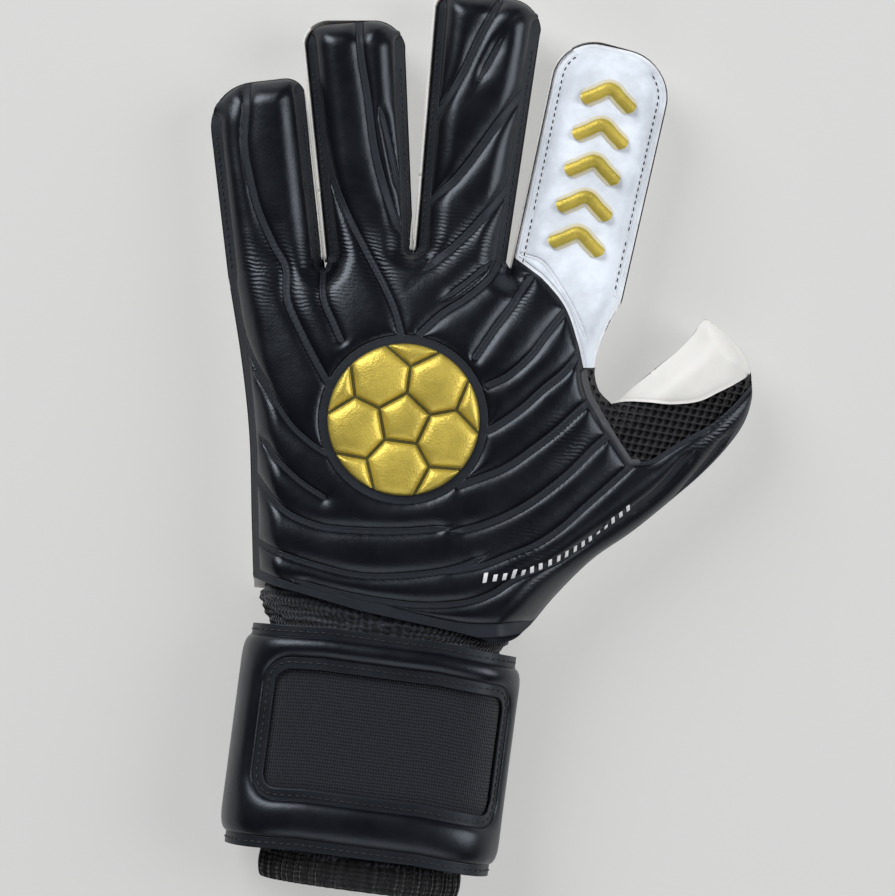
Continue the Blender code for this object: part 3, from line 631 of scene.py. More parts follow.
BLACK_SURFACE = with_relief(back_height, BLACK_RELIEF)
WHITE_SURFACE = with_relief(back_height, WHITE_RELIEF)
LATEX_SURFACE = with_relief(back_height, PLAIN_RELIEF)


# --- Meshes

def coons(low: Array, high: Array, left: Array, right: Array) -> Chart:
    """A chart that fills the space between four lines.

    Args:
        low: the near edge, from left to right.
        high: the far edge, from left to right.
        left: the left edge, from near to far.
        right: the right edge, from near to far.

    Returns:
        A function from shares across and ahead to points.
    """
    def chart(u: Array, v: Array) -> Array:
        """The four lines, blended.

        Args:
            u: shares across.
            v: shares ahead.

        Returns:
            Points of the plane.
        """
        across, ahead = u[:, None], v[:, None]
        near, far = along_line(low, u), along_line(high, u)
        one, other = along_line(left, v), along_line(right, v)
        corners = ((1 - across) * (1 - ahead) * low[0] + across * (1 - ahead) * low[-1]
                   + (1 - across) * ahead * high[0] + across * ahead * high[-1])
        return (1 - ahead) * near + ahead * far + (1 - across) * one + across * other - corners
    return chart


def denser_at_edges(chart: Chart, low: bool, high: bool) -> Chart:
    """The chart with its cells drawn together at both sides and, where asked, at its ends.

    Args:
        chart: the chart.
        low: whether the near end is denser too.
        high: whether the far end is denser too.

    Returns:
        The changed chart.
    """
    def drawn(u: Array, v: Array) -> Array:
        """The chart at shares drawn to its edges.

        Args:
            u: shares across.
            v: shares ahead.

        Returns:
            Points of the plane.
        """
        across = (1 - np.cos(math.pi * u)) / 2
        if low and high:
            ahead = (1 - np.cos(math.pi * v)) / 2
        elif high:
            ahead = np.sin(math.pi / 2 * v)
        else:
            ahead = v
        return chart(across, ahead)
    return drawn


def new_piece(name: str, mesh: bpy.types.Mesh, *materials: bpy.types.Material) -> bpy.types.Object:
    """Links a mesh as a piece of that name, smooth and with its materials.

    Args:
        name: the piece's name.
        mesh: its mesh.
        materials: its materials.

    Returns:
        The piece.
    """
    piece = bpy.data.objects.new(name, mesh)
    mesh.name = name
    bpy.context.scene.collection.objects.link(piece)
    for material in materials:
        mesh.materials.append(material)
    mesh.shade_smooth()
    LOG.info("%s: %d faces", name, len(mesh.polygons))
    return piece


def slope(grid: Array, axis: int, joined: tuple[bool, bool]) -> Array:
    """How a grid's points change along one axis, inside its outermost rows.

    Args:
        grid: points with one row more than the piece on every side.
        axis: the axis to go along.
        joined: whether the first and the last side run on into a neighbour.

    Returns:
        The change from cell to cell.
    """
    moved = np.moveaxis(grid, axis, 0)
    way = (moved[2:] - moved[:-2]) / 2
    if not joined[0]:
        way[0] = moved[2] - moved[1]
    if not joined[1]:
        way[-1] = moved[-2] - moved[-3]
    return np.moveaxis(way, 0, axis)


def steady_corners(normal: Array) -> Array:
    """The normals, with those of a grid's corners, where its two ways may run together, taken from inside.

    Args:
        normal: the grid's normals.

    Returns:
        A changed copy.
    """
    steady = normal.copy()
    for column, inner in ((0, 1), (-1, -2)):
        for row, deep in ((0, 1), (-1, -2)):
            steady[column, row] = normal[inner, deep]
    return steady


def rim_taper(across: int, ahead: int, joined: tuple[bool, bool, bool, bool]) -> Array:
    """Shares of a shell's thickness: less at its free sides, where it is sewn or cut thin.

    Args:
        across: how many cells lie across.
        ahead: how many cells lie ahead.
        joined: whether its left, right, near and far sides run on into neighbours.

    Returns:
        A share for each of the grid's points.
    """
    column = np.arange(across + 1)[:, None] + np.zeros(ahead + 1)
    row = np.arange(ahead + 1)[None] + np.zeros((across + 1, 1))
    share = np.ones((across + 1, ahead + 1))
    for free, cells in zip(joined, (column, across - column, row, ahead - row)):
        if not free:
            share = np.minimum(share, 0.22 + 0.78 * ease(cells, 0.0, 5.0))
    return share[:, :, None]


NONE_JOINED = (False, False, False, False)


def panel(name: str, chart: Chart, surface: Surface, cells: tuple[int, int], thick: float,
          material: bpy.types.Material, joined: tuple[bool, bool, bool, bool] = NONE_JOINED,
          closed: bool = False) -> bpy.types.Object:
    """A shell of cloth or foam over a surface.

    Args:
        name: the piece's name.
        chart: from shares to points of the plane.
        surface: from points of the plane to points in space and attributes.
        cells: how many cells lie across and ahead.
        thick: the shell's thickness, inwards where positive.
        material: the finish.
        joined: whether its left, right, near and far sides run on into neighbours.
        closed: whether the shell's two sides meet, as a tube's do.

    Returns:
        The piece.
    """
    across, ahead = cells
    u, v = np.meshgrid(np.linspace(0, 1, across + 1), np.linspace(0, 1, ahead + 1), indexing="ij")
    flat = chart(u.ravel(), v.ravel()).reshape(across + 1, ahead + 1, 2)
    flat = np.concatenate([2 * flat[:1] - flat[1:2], flat, 2 * flat[-1:] - flat[-2:-1]], axis=0)
    flat = np.concatenate([2 * flat[:, :1] - flat[:, 1:2], flat, 2 * flat[:, -1:] - flat[:, -2:-1]], axis=1)
    points, attributes = surface(flat.reshape(-1, 2))
    points = points.reshape(across + 3, ahead + 3, 3)
    if closed:
        joined = (True, True, *joined[2:])
    normal = np.cross(slope(points, 0, joined[:2])[:, 1:-1], slope(points, 1, joined[2:])[1:-1])
    normal /= np.linalg.norm(normal, axis=2)[:, :, None] + 1e-12
    points = points[1:-1, 1:-1]
    if closed:
        normal[0] = normal[-1] = (normal[0] + normal[-1]) / 2
        inward = normal * rim_taper(across, ahead, (True, True, *joined[2:]))
    else:
        normal = steady_corners(normal)
        normal = normal * np.where(normal[..., 2:] < 0, -1, 1)
        inward = np.array((0.0, 0.0, 1.0)) * rim_taper(across, ahead, joined)
    both = np.stack([points, points - inward * thick])

    bm = bmesh.new()
    sheets = []
    for layer in range(2):
        made = bmesh.ops.create_grid(bm, x_segments=across, y_segments=ahead, size=1.0)["verts"]
        bmesh.ops.translate(bm, verts=made, vec=(0, 0, -layer))
        sheets.append(made)
    loops = [edge for made in sheets for vert in made for edge in vert.link_edges if edge.is_boundary]
    bmesh.ops.bridge_loops(bm, edges=list(set(loops)))
    mesh = bpy.data.meshes.new(name)
    bm.to_mesh(mesh)
    co = np.empty(len(mesh.vertices) * 3, np.float32)
    mesh.vertices.foreach_get("co", co)
    co = co.reshape(-1, 3)
    column = np.rint((co[:, 0] + 1) / 2 * across).astype(int)
    row = np.rint((co[:, 1] + 1) / 2 * ahead).astype(int)
    layer = np.rint(-co[:, 2]).astype(int)
    placed = both[layer, column, row] * MM
    mesh.vertices.foreach_set("co", placed.astype(np.float32).ravel())
    for key, values in attributes.items():
        grid = values.reshape(across + 3, ahead + 3)[1:-1, 1:-1]
        made = mesh.attributes.new(key, "FLOAT", "POINT")
        made.data.foreach_set("value", grid[column, row].astype(np.float32))
    bm.clear()
    bm.from_mesh(mesh)
    if closed:
        bmesh.ops.remove_doubles(bm, verts=bm.verts, dist=1e-6)
        inside = [face for face in bm.faces if face.calc_area() < 1e-13
                  or sum(len(edge.link_faces) > 2 for edge in face.edges) > 1]
        bmesh.ops.delete(bm, geom=inside, context="FACES")
    bmesh.ops.recalc_face_normals(bm, faces=bm.faces)
    bm.to_mesh(mesh)
    bm.free()
    piece = new_piece(name, mesh, material)
    if not closed:
        set_normals(mesh, layer, normal[column, row])
    return piece


def set_normals(mesh: bpy.types.Mesh, layer: Array, normal: Array) -> None:
    """Gives the outer sheet its exact normals, so that neighbouring panels meet unseen.

    Args:
        mesh: the piece's mesh.
        layer: 0 for points of the outer sheet and 1 for the inner one.
        normal: the exact normal at each point.
    """
    corners = np.empty(len(mesh.loops), np.int32)
    mesh.loops.foreach_get("vertex_index", corners)
    quads = corners.reshape(-1, 4)
    outer = (layer[quads] == 0).all(axis=1)
    facing = np.empty(len(mesh.polygons) * 3, np.float32)
    mesh.polygons.foreach_get("normal", facing)
    facing = facing.reshape(-1, 3)
    wanted = np.where(outer[:, None, None], normal[quads], 0.0)
    sign = np.sign((wanted.sum(1) * facing).sum(1))
    wanted *= np.where(sign == 0, 1, sign)[:, None, None]
    mesh.normals_split_custom_set(wanted.reshape(-1, 3).tolist())


def sample(surface: Surface, xy: Array) -> tuple[Array, Array]:
    """Points of a surface and its normals there.

    Args:
        surface: the surface.
        xy: points of the plane.

    Returns:
        The points in space, and the normals.
    """
    step = 0.3
    here = surface(xy)[0]
    across = surface(xy + (step, 0))[0] - surface(xy - (step, 0))[0]
    ahead = surface(xy + (0, step))[0] - surface(xy - (0, step))[0]
    normal = np.cross(across, ahead)
    return here, normal / np.linalg.norm(normal, axis=1)[:, None]


@dataclass(frozen=True)
class Thread:
    """Sizes of one kind of stitch."""

    pitch: float = 2.1
    length: float = 1.5
    width: float = 0.55


def stitches(name: str, lines: list[Array], surface: Surface, thread: Thread,
             material: bpy.types.Material, lift: float = 0.06) -> bpy.types.Object:
    """A row of stitches along each line.

    Args:
        name: the piece's name.
        lines: where the stitches run.
        surface: what they are sewn through.
        thread: their sizes.
        material: the thread's finish.
        lift: how far their middles stand over the surface.

    Returns:
        The piece, with all the stitches in one mesh.
    """
    bm = bmesh.new()
    for line in lines:
        length = lengths_along(line)[-1]
        count = max(int(length / thread.pitch), 1)
        share = (np.arange(count) + 0.5) / count
        xy = along_line(line, share)
        ends = along_line(line, np.clip(share + 0.5 / count, 0, 1))
        here, normal = sample(surface, xy)
        there = surface(ends)[0]
        for point, ahead, up in zip(here, there, normal):
            way = Vector(ahead - point).normalized()
            up = Vector(up)
            side = up.cross(way).normalized()
            turn = Matrix((side, way, up)).transposed().to_4x4()
            size = Matrix.Diagonal((thread.width / 2, thread.length / 2, thread.width / 2, 1.0))
            place = Matrix.Translation(Vector(point) + up * lift)
            bmesh.ops.create_uvsphere(bm, u_segments=7, v_segments=5, radius=1.0,
                                      matrix=Matrix.Scale(MM, 4) @ place @ turn @ size)
    mesh = bpy.data.meshes.new(name)
    bm.to_mesh(mesh)
    bm.free()
    return new_piece(name, mesh, material)


# --- Finishes

Socket = bpy.types.NodeSocket


class Sheet:
    """Short ways of placing nodes in one node tree."""

    def __init__(self, tree: bpy.types.NodeTree) -> None:
        """Takes the tree that nodes are added to."""
        self.tree = tree

    def node(self, kind: str, inputs: dict[str | int, object] | None = None,
             **settings: object) -> bpy.types.Node:
        """Adds a node.

        Args:
            kind: its type's name, without "ShaderNode".
            inputs: values or sockets for its inputs.
            settings: its own settings.

        Returns:
            The node.
        """
        made = self.tree.nodes.new("ShaderNode" + kind)
        for key, value in settings.items():
            setattr(made, key, value)
        for key, value in (inputs or {}).items():
            if isinstance(value, bpy.types.NodeSocket):
                self.tree.links.new(value, made.inputs[key])
            else:
                made.inputs[key].default_value = value
        return made

    def math(self, operation: str, first: object, second: object = 0.0) -> Socket:
        """The result of a Math node."""
        return self.node("Math", {0: first, 1: second}, operation=operation).outputs[0]

    def ramp(self, value: Socket, low: float, high: float, start: float = 0.0, end: float = 1.0) -> Socket:
        """A smooth step of value between low and high, from start to end.

        Args:
            value: what is read.
            low: its value at the start.
            high: its value at the end.
            start: what comes out at the start.
            end: what comes out at the end.

        Returns:
            The result's socket.
        """
        made = self.node("MapRange", {"Value": value, "From Min": low, "From Max": high, "To Min": start,
                                      "To Max": end}, interpolation_type="SMOOTHSTEP")
        return made.outputs["Result"]

    def mix(self, share: Socket, first: object, second: object) -> Socket:
        """A colour between two, by share."""
        made = self.node("Mix", {0: share, 6: first, 7: second}, data_type="RGBA")
        return made.outputs[2]

    def attribute(self, name: str) -> Socket:
        """A number that the mesh stores at its points."""
        return self.node("Attribute", attribute_name=name).outputs["Fac"]


def grain_group() -> bpy.types.NodeTree:
    """Fine skin of pressed foam: pores, a softer unevenness, and a slow change of tone.

    Returns:
        The node group, with Height and Tone.
    """
    group = bpy.data.node_groups.new("skin grain", "ShaderNodeTree")
    for name, value in (("Pore Scale", 1500.0), ("Pore Depth", 0.05), ("Swell Depth", 0.1)):
        made = group.interface.new_socket(name, in_out="INPUT", socket_type="NodeSocketFloat")
        made.default_value = value
    for name in ("Height", "Tone"):
        group.interface.new_socket(name, in_out="OUTPUT", socket_type="NodeSocketFloat")
    sheet = Sheet(group)
    into = group.nodes.new("NodeGroupInput")
    out = group.nodes.new("NodeGroupOutput")
    place = sheet.node("TexCoord").outputs["Object"]
    pores = sheet.node("TexNoise", {"Vector": place, "Scale": into.outputs["Pore Scale"], "Detail": 3.0,
                                    "Roughness": 0.6})
    swell = sheet.node("TexNoise", {"Vector": place, "Scale": 160.0, "Detail": 2.0})
    tone = sheet.node("TexNoise", {"Vector": place, "Scale": 60.0, "Detail": 4.0, "Roughness": 0.65})
    fine = sheet.math("MULTIPLY", pores.outputs["Fac"], into.outputs["Pore Depth"])
    slow = sheet.math("MULTIPLY", swell.outputs["Fac"], into.outputs["Swell Depth"])
    group.links.new(sheet.math("ADD", fine, slow), out.inputs["Height"])
    group.links.new(tone.outputs["Fac"], out.inputs["Tone"])
    return group


def rows_group() -> bpy.types.NodeTree:
    """Rows and columns of a weave or knit, from the piece's own two directions.

    Returns:
        The node group, with Height.
    """
    group = bpy.data.node_groups.new("thread rows", "ShaderNodeTree")
    inputs = (("Across", 0.0), ("Ahead", 0.0), ("Row Pitch", 1.0), ("Column Pitch", 1.0), ("Wander", 0.3))
    for name, value in inputs:
        made = group.interface.new_socket(name, in_out="INPUT", socket_type="NodeSocketFloat")
        made.default_value = value
    group.interface.new_socket("Height", in_out="OUTPUT", socket_type="NodeSocketFloat")
    sheet = Sheet(group)
    into = group.nodes.new("NodeGroupInput")
    out = group.nodes.new("NodeGroupOutput")
    place = sheet.node("TexCoord").outputs["Object"]
    wander = sheet.node("TexNoise", {"Vector": place, "Scale": 350.0, "Detail": 2.0}).outputs["Fac"]
    drift = sheet.math("MULTIPLY", wander, into.outputs["Wander"])
    waves = []
    for along, pitch in (("Across", "Column Pitch"), ("Ahead", "Row Pitch")):
        turns = sheet.math("DIVIDE", into.outputs[along], into.outputs[pitch])
        moved = sheet.math("ADD", turns, drift)
        waves.append(sheet.math("SINE", sheet.math("MULTIPLY", moved, math.tau)))
    group.links.new(sheet.math("ADD", waves[0], waves[1]), out.inputs["Height"])
    return group


GRAIN = grain_group()
ROWS = rows_group()


def grain(sheet: Sheet, scale: float, pore: float, swell: float) -> bpy.types.Node:
    """Places the skin grain in a material.

    Args:
        sheet: the material's nodes.
        scale: how fine the pores are.
        pore: how deep they are.
        swell: how deep the softer unevenness is.

    Returns:
        The group's node.
    """
    made = sheet.node("Group", node_tree=GRAIN)
    for name, value in (("Pore Scale", scale), ("Pore Depth", pore), ("Swell Depth", swell)):
        made.inputs[name].default_value = value
    return made


def start_material(name: str, **uniform: float) -> tuple[bpy.types.Material, Sheet, bpy.types.Node]:
    """A material with its Principled shader, whose uniform settings are on its own sockets.

    Args:
        name: the material's name.
        uniform: values for the shader's sockets.

    Returns:
        The material, a way to add nodes, and its shader.
    """
    material = bpy.data.materials.new(name)
    material.use_nodes = True
    shader = material.node_tree.nodes["Principled BSDF"]
    for key, value in uniform.items():
        shader.inputs[key.replace("_", " ").title().replace("Ior", "IOR")].default_value = value
    return material, Sheet(material.node_tree), shader


def bump_into(sheet: Sheet, shader: bpy.types.Node, height: Socket, strength: float = 1.0) -> None:
    """Feeds a height in millimetres to the shader's normal."""
    bump = sheet.node("Bump", {"Strength": strength, "Distance": MM, "Height": height})
    sheet.tree.links.new(bump.outputs["Normal"], shader.inputs["Normal"])


@dataclass(frozen=True)
class PressedFoam:
    """Smooth foam panel with flat pressed bands and fine cross wrinkles."""

    name: str
    colour: tuple[float, float, float, float]
    band: tuple[float, float, float, float]
    roughness: float
    band_roughness: float
    pore: float = 0.05
    specular: float = 0.5
    metallic: float = 0.0
    shine: tuple[float, float, float, float] = (0.80, 0.89, 1.0, 1.0)

    def build(self) -> bpy.types.Material:
        """Makes the material.

        Returns:
            The material.
        """
        material, sheet, shader = start_material(self.name, specular_ior_level=self.specular,
                                                 metallic=self.metallic)
        shader.inputs["Specular Tint"].default_value = self.shine
        links = sheet.tree.links
        skin = grain(sheet, 1500.0, self.pore, 0.12)
        gap = sheet.attribute("gap")
        band = sheet.ramp(gap, 0.1, -0.15)
        tone = sheet.ramp(skin.outputs["Tone"], 0.3, 0.7, 0.85, 1.15)
        # For the two black foams the band colour is a lighter grey than the pillows: painted sheen for the
        # light that the flat matte bands reflect.
        plain = sheet.mix(band, self.colour, self.band)
        toned = sheet.node("VectorMath", {0: plain, 3: tone}, operation="SCALE").outputs["Vector"]
        links.new(toned, shader.inputs["Base Color"])
        rough = sheet.ramp(gap, 0.2, -0.1, self.roughness, self.band_roughness)
        rough = sheet.math("ADD", rough, sheet.ramp(skin.outputs["Tone"], 0.3, 0.7, -0.04, 0.04))
        links.new(rough, shader.inputs["Roughness"])
        edge = sheet.math("ABSOLUTE", sheet.math("SUBTRACT", gap, 0.05))
        notch = sheet.ramp(edge, 0.35, 0.0, 0.0, -0.22)
        place = sheet.node("TexCoord").outputs["Object"]
        wave = sheet.node("TexWave", {"Vector": place, "Scale": 250.0, "Distortion": 6.0, "Detail": 2.0,
                                      "Detail Scale": 0.8}, bands_direction="Y").outputs["Fac"]
        wrinkle = sheet.math("MULTIPLY", wave, sheet.math("MULTIPLY", sheet.attribute("crease"), 0.08))
        height = sheet.math("ADD", skin.outputs["Height"], sheet.math("ADD", notch, wrinkle))
        bump_into(sheet, shader, height)
        return material


@dataclass(frozen=True)
class PlainSkin:
    """Latex, paint or rubber with a fine grain and a slow change of tone."""

    name: str
    colour: tuple[float, float, float, float]
    shade: tuple[float, float, float, float]
    roughness: float
    metallic: float = 0.0
    scale: float = 1500.0
    pore: float = 0.05
    swell: float = 0.1
    coat: float = 0.0
    subsurface: float = 0.0

    def build(self) -> bpy.types.Material:
        """Makes the material.

        Returns:
            The material.
        """
        material, sheet, shader = start_material(self.name, coat_roughness=0.35, metallic=self.metallic,
                                                 subsurface_weight=self.subsurface)
        shader.inputs["Coat Weight"].default_value = self.coat
        shader.inputs["Subsurface Radius"].default_value = (0.002, 0.0016, 0.0012)
        skin = grain(sheet, self.scale, self.pore, self.swell)
        share = sheet.ramp(skin.outputs["Tone"], 0.3, 0.7)
        sheet.tree.links.new(sheet.mix(share, self.shade, self.colour), shader.inputs["Base Color"])
        rough = sheet.ramp(skin.outputs["Tone"], 0.3, 0.7, self.roughness - 0.05, self.roughness + 0.05)
        sheet.tree.links.new(rough, shader.inputs["Roughness"])
        bump_into(sheet, shader, skin.outputs["Height"])
        return material


@dataclass(frozen=True)
class ThreadCloth:
    """Woven or knitted cloth whose rows follow the piece, with painted shade: the hollows between its threads
    take the darker colour.
    """

    name: str
    colour: tuple[float, float, float, float]
    shade: tuple[float, float, float, float]
    row: float
    column: float
    wander: float
    depth: float
    sheen: float = 0.2

    def build(self) -> bpy.types.Material:
        """Makes the material.

        Returns:
            The material.
        """
        material, sheet, shader = start_material(self.name, sheen_weight=self.sheen, sheen_roughness=0.5,
                                                 specular_ior_level=0.25)
        rows = sheet.node("Group", {}, node_tree=ROWS)
        for name, value in (("Row Pitch", self.row), ("Column Pitch", self.column), ("Wander", self.wander)):
            rows.inputs[name].default_value = value
        sheet.tree.links.new(sheet.attribute("across"), rows.inputs["Across"])
        sheet.tree.links.new(sheet.attribute("ahead"), rows.inputs["Ahead"])
        fuzz = grain(sheet, 2400.0, 0.25, 0.3)
        # Painted shade: the low parts of the rows get the darker shade colour, the raised threads the lighter
        # colour.
        lit = sheet.ramp(rows.outputs["Height"], -1.6, 1.6)
        sheet.tree.links.new(sheet.mix(lit, self.shade, self.colour), shader.inputs["Base Color"])
        rough = sheet.ramp(rows.outputs["Height"], -1.5, 1.5, 0.95, 0.8)
        sheet.tree.links.new(rough, shader.inputs["Roughness"])
        height = sheet.math("MULTIPLY", rows.outputs["Height"], self.depth)
        bump_into(sheet, shader, sheet.math("ADD", height, fuzz.outputs["Height"]))
        return material


class Slot(Enum):
    """Material slots of the record."""

    BLACK_FOAM = "black_foam"
    WHITE_LATEX = "white_latex"
    WHITE_PANEL = "white_panel"
    GOLD = "gold_relief"
    PRINT = "white_print"
    MESH = "black_mesh"
    KNIT = "black_knit"
    WEAVE = "charcoal_weave"
    RUBBER = "black_rubber"
    LINING = "lining_cloth"
    HOOKS = "hook_and_loop"


BLACK = (0.0028, 0.0034, 0.0062, 1.0)
FINISHES = {
    # The lighter band colours of the two black foams are painted sheen of their flat matte bands.
    "foam": PressedFoam("black pressed foam", BLACK, (0.0085, 0.0098, 0.0145, 1.0), 0.33, 0.58),
    "strap": PressedFoam("black strap foam", BLACK, (0.0060, 0.0070, 0.0105, 1.0), 0.34, 0.48),
    "white": PressedFoam("pearl white foam", (0.80, 0.86, 0.95, 1.0), (0.84, 0.87, 0.93, 1.0), 0.5, 0.6,
                         0.03),
    "latex": PlainSkin("white latex", (0.86, 0.85, 0.825, 1.0), (0.81, 0.80, 0.77, 1.0), 0.55, pore=0.03,
                       subsurface=0.15),
    "gold": PlainSkin("gold relief", (0.72, 0.56, 0.10, 1.0), (0.52, 0.42, 0.07, 1.0), 0.42, 0.55,
                      scale=1900.0, pore=0.16, swell=0.1),
    "plates": PressedFoam("gold plates", (0.72, 0.56, 0.10, 1.0), (0.10, 0.085, 0.018, 1.0), 0.42, 0.55, 0.16,
                          metallic=0.55),
    "ivory": PlainSkin("ivory outline", (0.72, 0.68, 0.52, 1.0), (0.64, 0.60, 0.45, 1.0), 0.5),
    "print": PlainSkin("white print", (0.82, 0.84, 0.86, 1.0), (0.76, 0.78, 0.80, 1.0), 0.5),
    "tape": PlainSkin("web binding", (0.075, 0.078, 0.088, 1.0), (0.045, 0.047, 0.055, 1.0), 0.6),
    "rubber": PlainSkin("black rubber", (0.006, 0.006, 0.009, 1.0), (0.003, 0.003, 0.005, 1.0), 0.5),
    "thread": PlainSkin("black thread", (0.016, 0.016, 0.021, 1.0), (0.007, 0.007, 0.010, 1.0), 0.45),
    "mesh": PlainSkin("black spacer mesh", (0.010, 0.010, 0.013, 1.0), (0.005, 0.005, 0.007, 1.0), 0.6,
                      scale=3000.0, pore=0.12),
    # The second colour of each cloth below is painted shade for the hollows between its threads.
    "knit": ThreadCloth("black bandage knit", (0.036, 0.039, 0.054, 1.0), (0.005, 0.0055, 0.008, 1.0),
                        1.9, 1.5, 1.1, 0.35),
    "hem": ThreadCloth("black ribbed knit", (0.013, 0.014, 0.018, 1.0), (0.004, 0.004, 0.005, 1.0),
                       1.5, 1.9, 1.0, 0.3),
    "weave": ThreadCloth("charcoal weave", (0.021, 0.025, 0.038, 1.0), (0.004, 0.005, 0.008, 1.0),
                         1.05, 0.8, 0.35, 0.14),
    "lining": ThreadCloth("lining cloth", (0.36, 0.36, 0.38, 1.0), (0.22, 0.22, 0.24, 1.0), 0.8, 0.8, 0.2,
                          0.1),
    "hooks": ThreadCloth("hook and loop", (0.018, 0.018, 0.020, 1.0), (0.003, 0.003, 0.003, 1.0),
                         1.3, 1.3, 1.2, 0.5),
}
MATERIALS = {name: finish.build() for name, finish in FINISHES.items()}


def dress(piece: bpy.types.Object, slot: Slot, *nodes: str, body: str = "", blend: tuple = ()) -> None:
    """Attaches a piece to its CAD body or, where a blend is given, bakes its place into its mesh; and hides
    the CAD nodes that it stands for.

    Args:
        piece: the piece.
        slot: the record's material slot. Not used.
        nodes: CAD nodes that it stands for.
        body: the CAD body that it rides on, where it doesn't bend.
        blend: (first body, second body, start, end), where it bends, with points in millimetres.
    """
    if blend:
        first, second, start, end = blend
        tuple(c * MM for c in start)
        tuple(c * MM for c in end)
        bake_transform(piece)
    else:
        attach(piece, body)
    if nodes:
        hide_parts(*nodes)


# --- Sub-assemblies

@dataclass(frozen=True)
class Segment:
    """One of a finger's two pieces, with where it starts and ends and what it bends between."""

    name: str
    start: float
    end: float | None
    bodies: tuple[str, str]
    turn: tuple[float, float]


def part_of(line: Array, start: tuple[float, float], end: tuple[float, float]) -> Array:
    """The part of a line between the places nearest to two points, with those points as its ends.

    Args:
        line: the whole line.
        start: the first point.
        end: the last point.

    Returns:
        The part, from start to end.
    """
    ends = np.array((start, end), float)
    place = lengths_along(line)
    low, high = line_distance(ends, line)[1]
    inner = line[(place > min(low, high) + 0.2) & (place < max(low, high) - 0.2)]
    return np.vstack([ends[:1], inner if low < high else inner[::-1], ends[1:]])


def strip_chart(start: float, end: float) -> Chart:
    """A chart from a share across and a place that runs from start to end."""
    return lambda u, v: np.column_stack([u, start + (end - start) * v])


@dataclass(frozen=True)
class DigitLining:
    """The lining sleeve inside one piece of a digit.

    Args:
        label: the piece's name without its kind.
        span: where it starts and ends along the digit.
        half: half its width.
        tall: half its height.
        closes: how far before its end it starts to close, 0 where it stays open.
        cells: how many cells lie round it and along it.
        rows: how far its weave runs round it.
    """

    label: str
    span: tuple[float, float]
    half: float
    tall: float
    closes: float
    cells: tuple[int, int]
    rows: float

    def surface(self, place: Callable[[Array], Array]) -> Surface:
        """The sleeve's own surface.

        Args:
            place: from points of the digit's frame to points of the glove's.

        Returns:
            A function from shares round it and places along it to points in space.
        """
        end = self.span[1]

        def sleeve(flat: Array) -> tuple[Array, dict[str, Array]]:
            """An oval tube, closed to a round end at a tip.

            Args:
                flat: shares round it and places along it.

            Returns:
                Points in space, with their attributes.
            """
            angle, y = flat[:, 0] * math.tau, flat[:, 1]
            closing = np.ones(len(y))
            if self.closes:
                closing = np.sqrt(np.clip(1 - ease(y, end - self.closes, end + 0.1) ** 2, 0.0004, 1))
            x, z = self.half * np.sin(angle) * closing, 12.0 - self.tall * np.cos(angle) * closing
            xy = place(np.column_stack([x, y]))
            return np.column_stack([xy, z]), {"across": flat[:, 0] * self.rows, "ahead": y}
        return sleeve

    def build(self, place: Callable[[Array], Array], blend: tuple, rests_on: str) -> None:
        """Makes the sleeve.

        Args:
            place: from points of the digit's frame to points of the glove's.
            blend: what dress() takes for a piece that bends.
            rests_on: the name of the piece under it. Not used.
        """
        lining = panel(f"{self.label}_lining_cloth", strip_chart(*self.span), self.surface(place), self.cells,
                       0.8, MATERIALS["lining"], closed=True)
        dress(lining, Slot.LINING, f"{self.label}_lining", blend=blend)


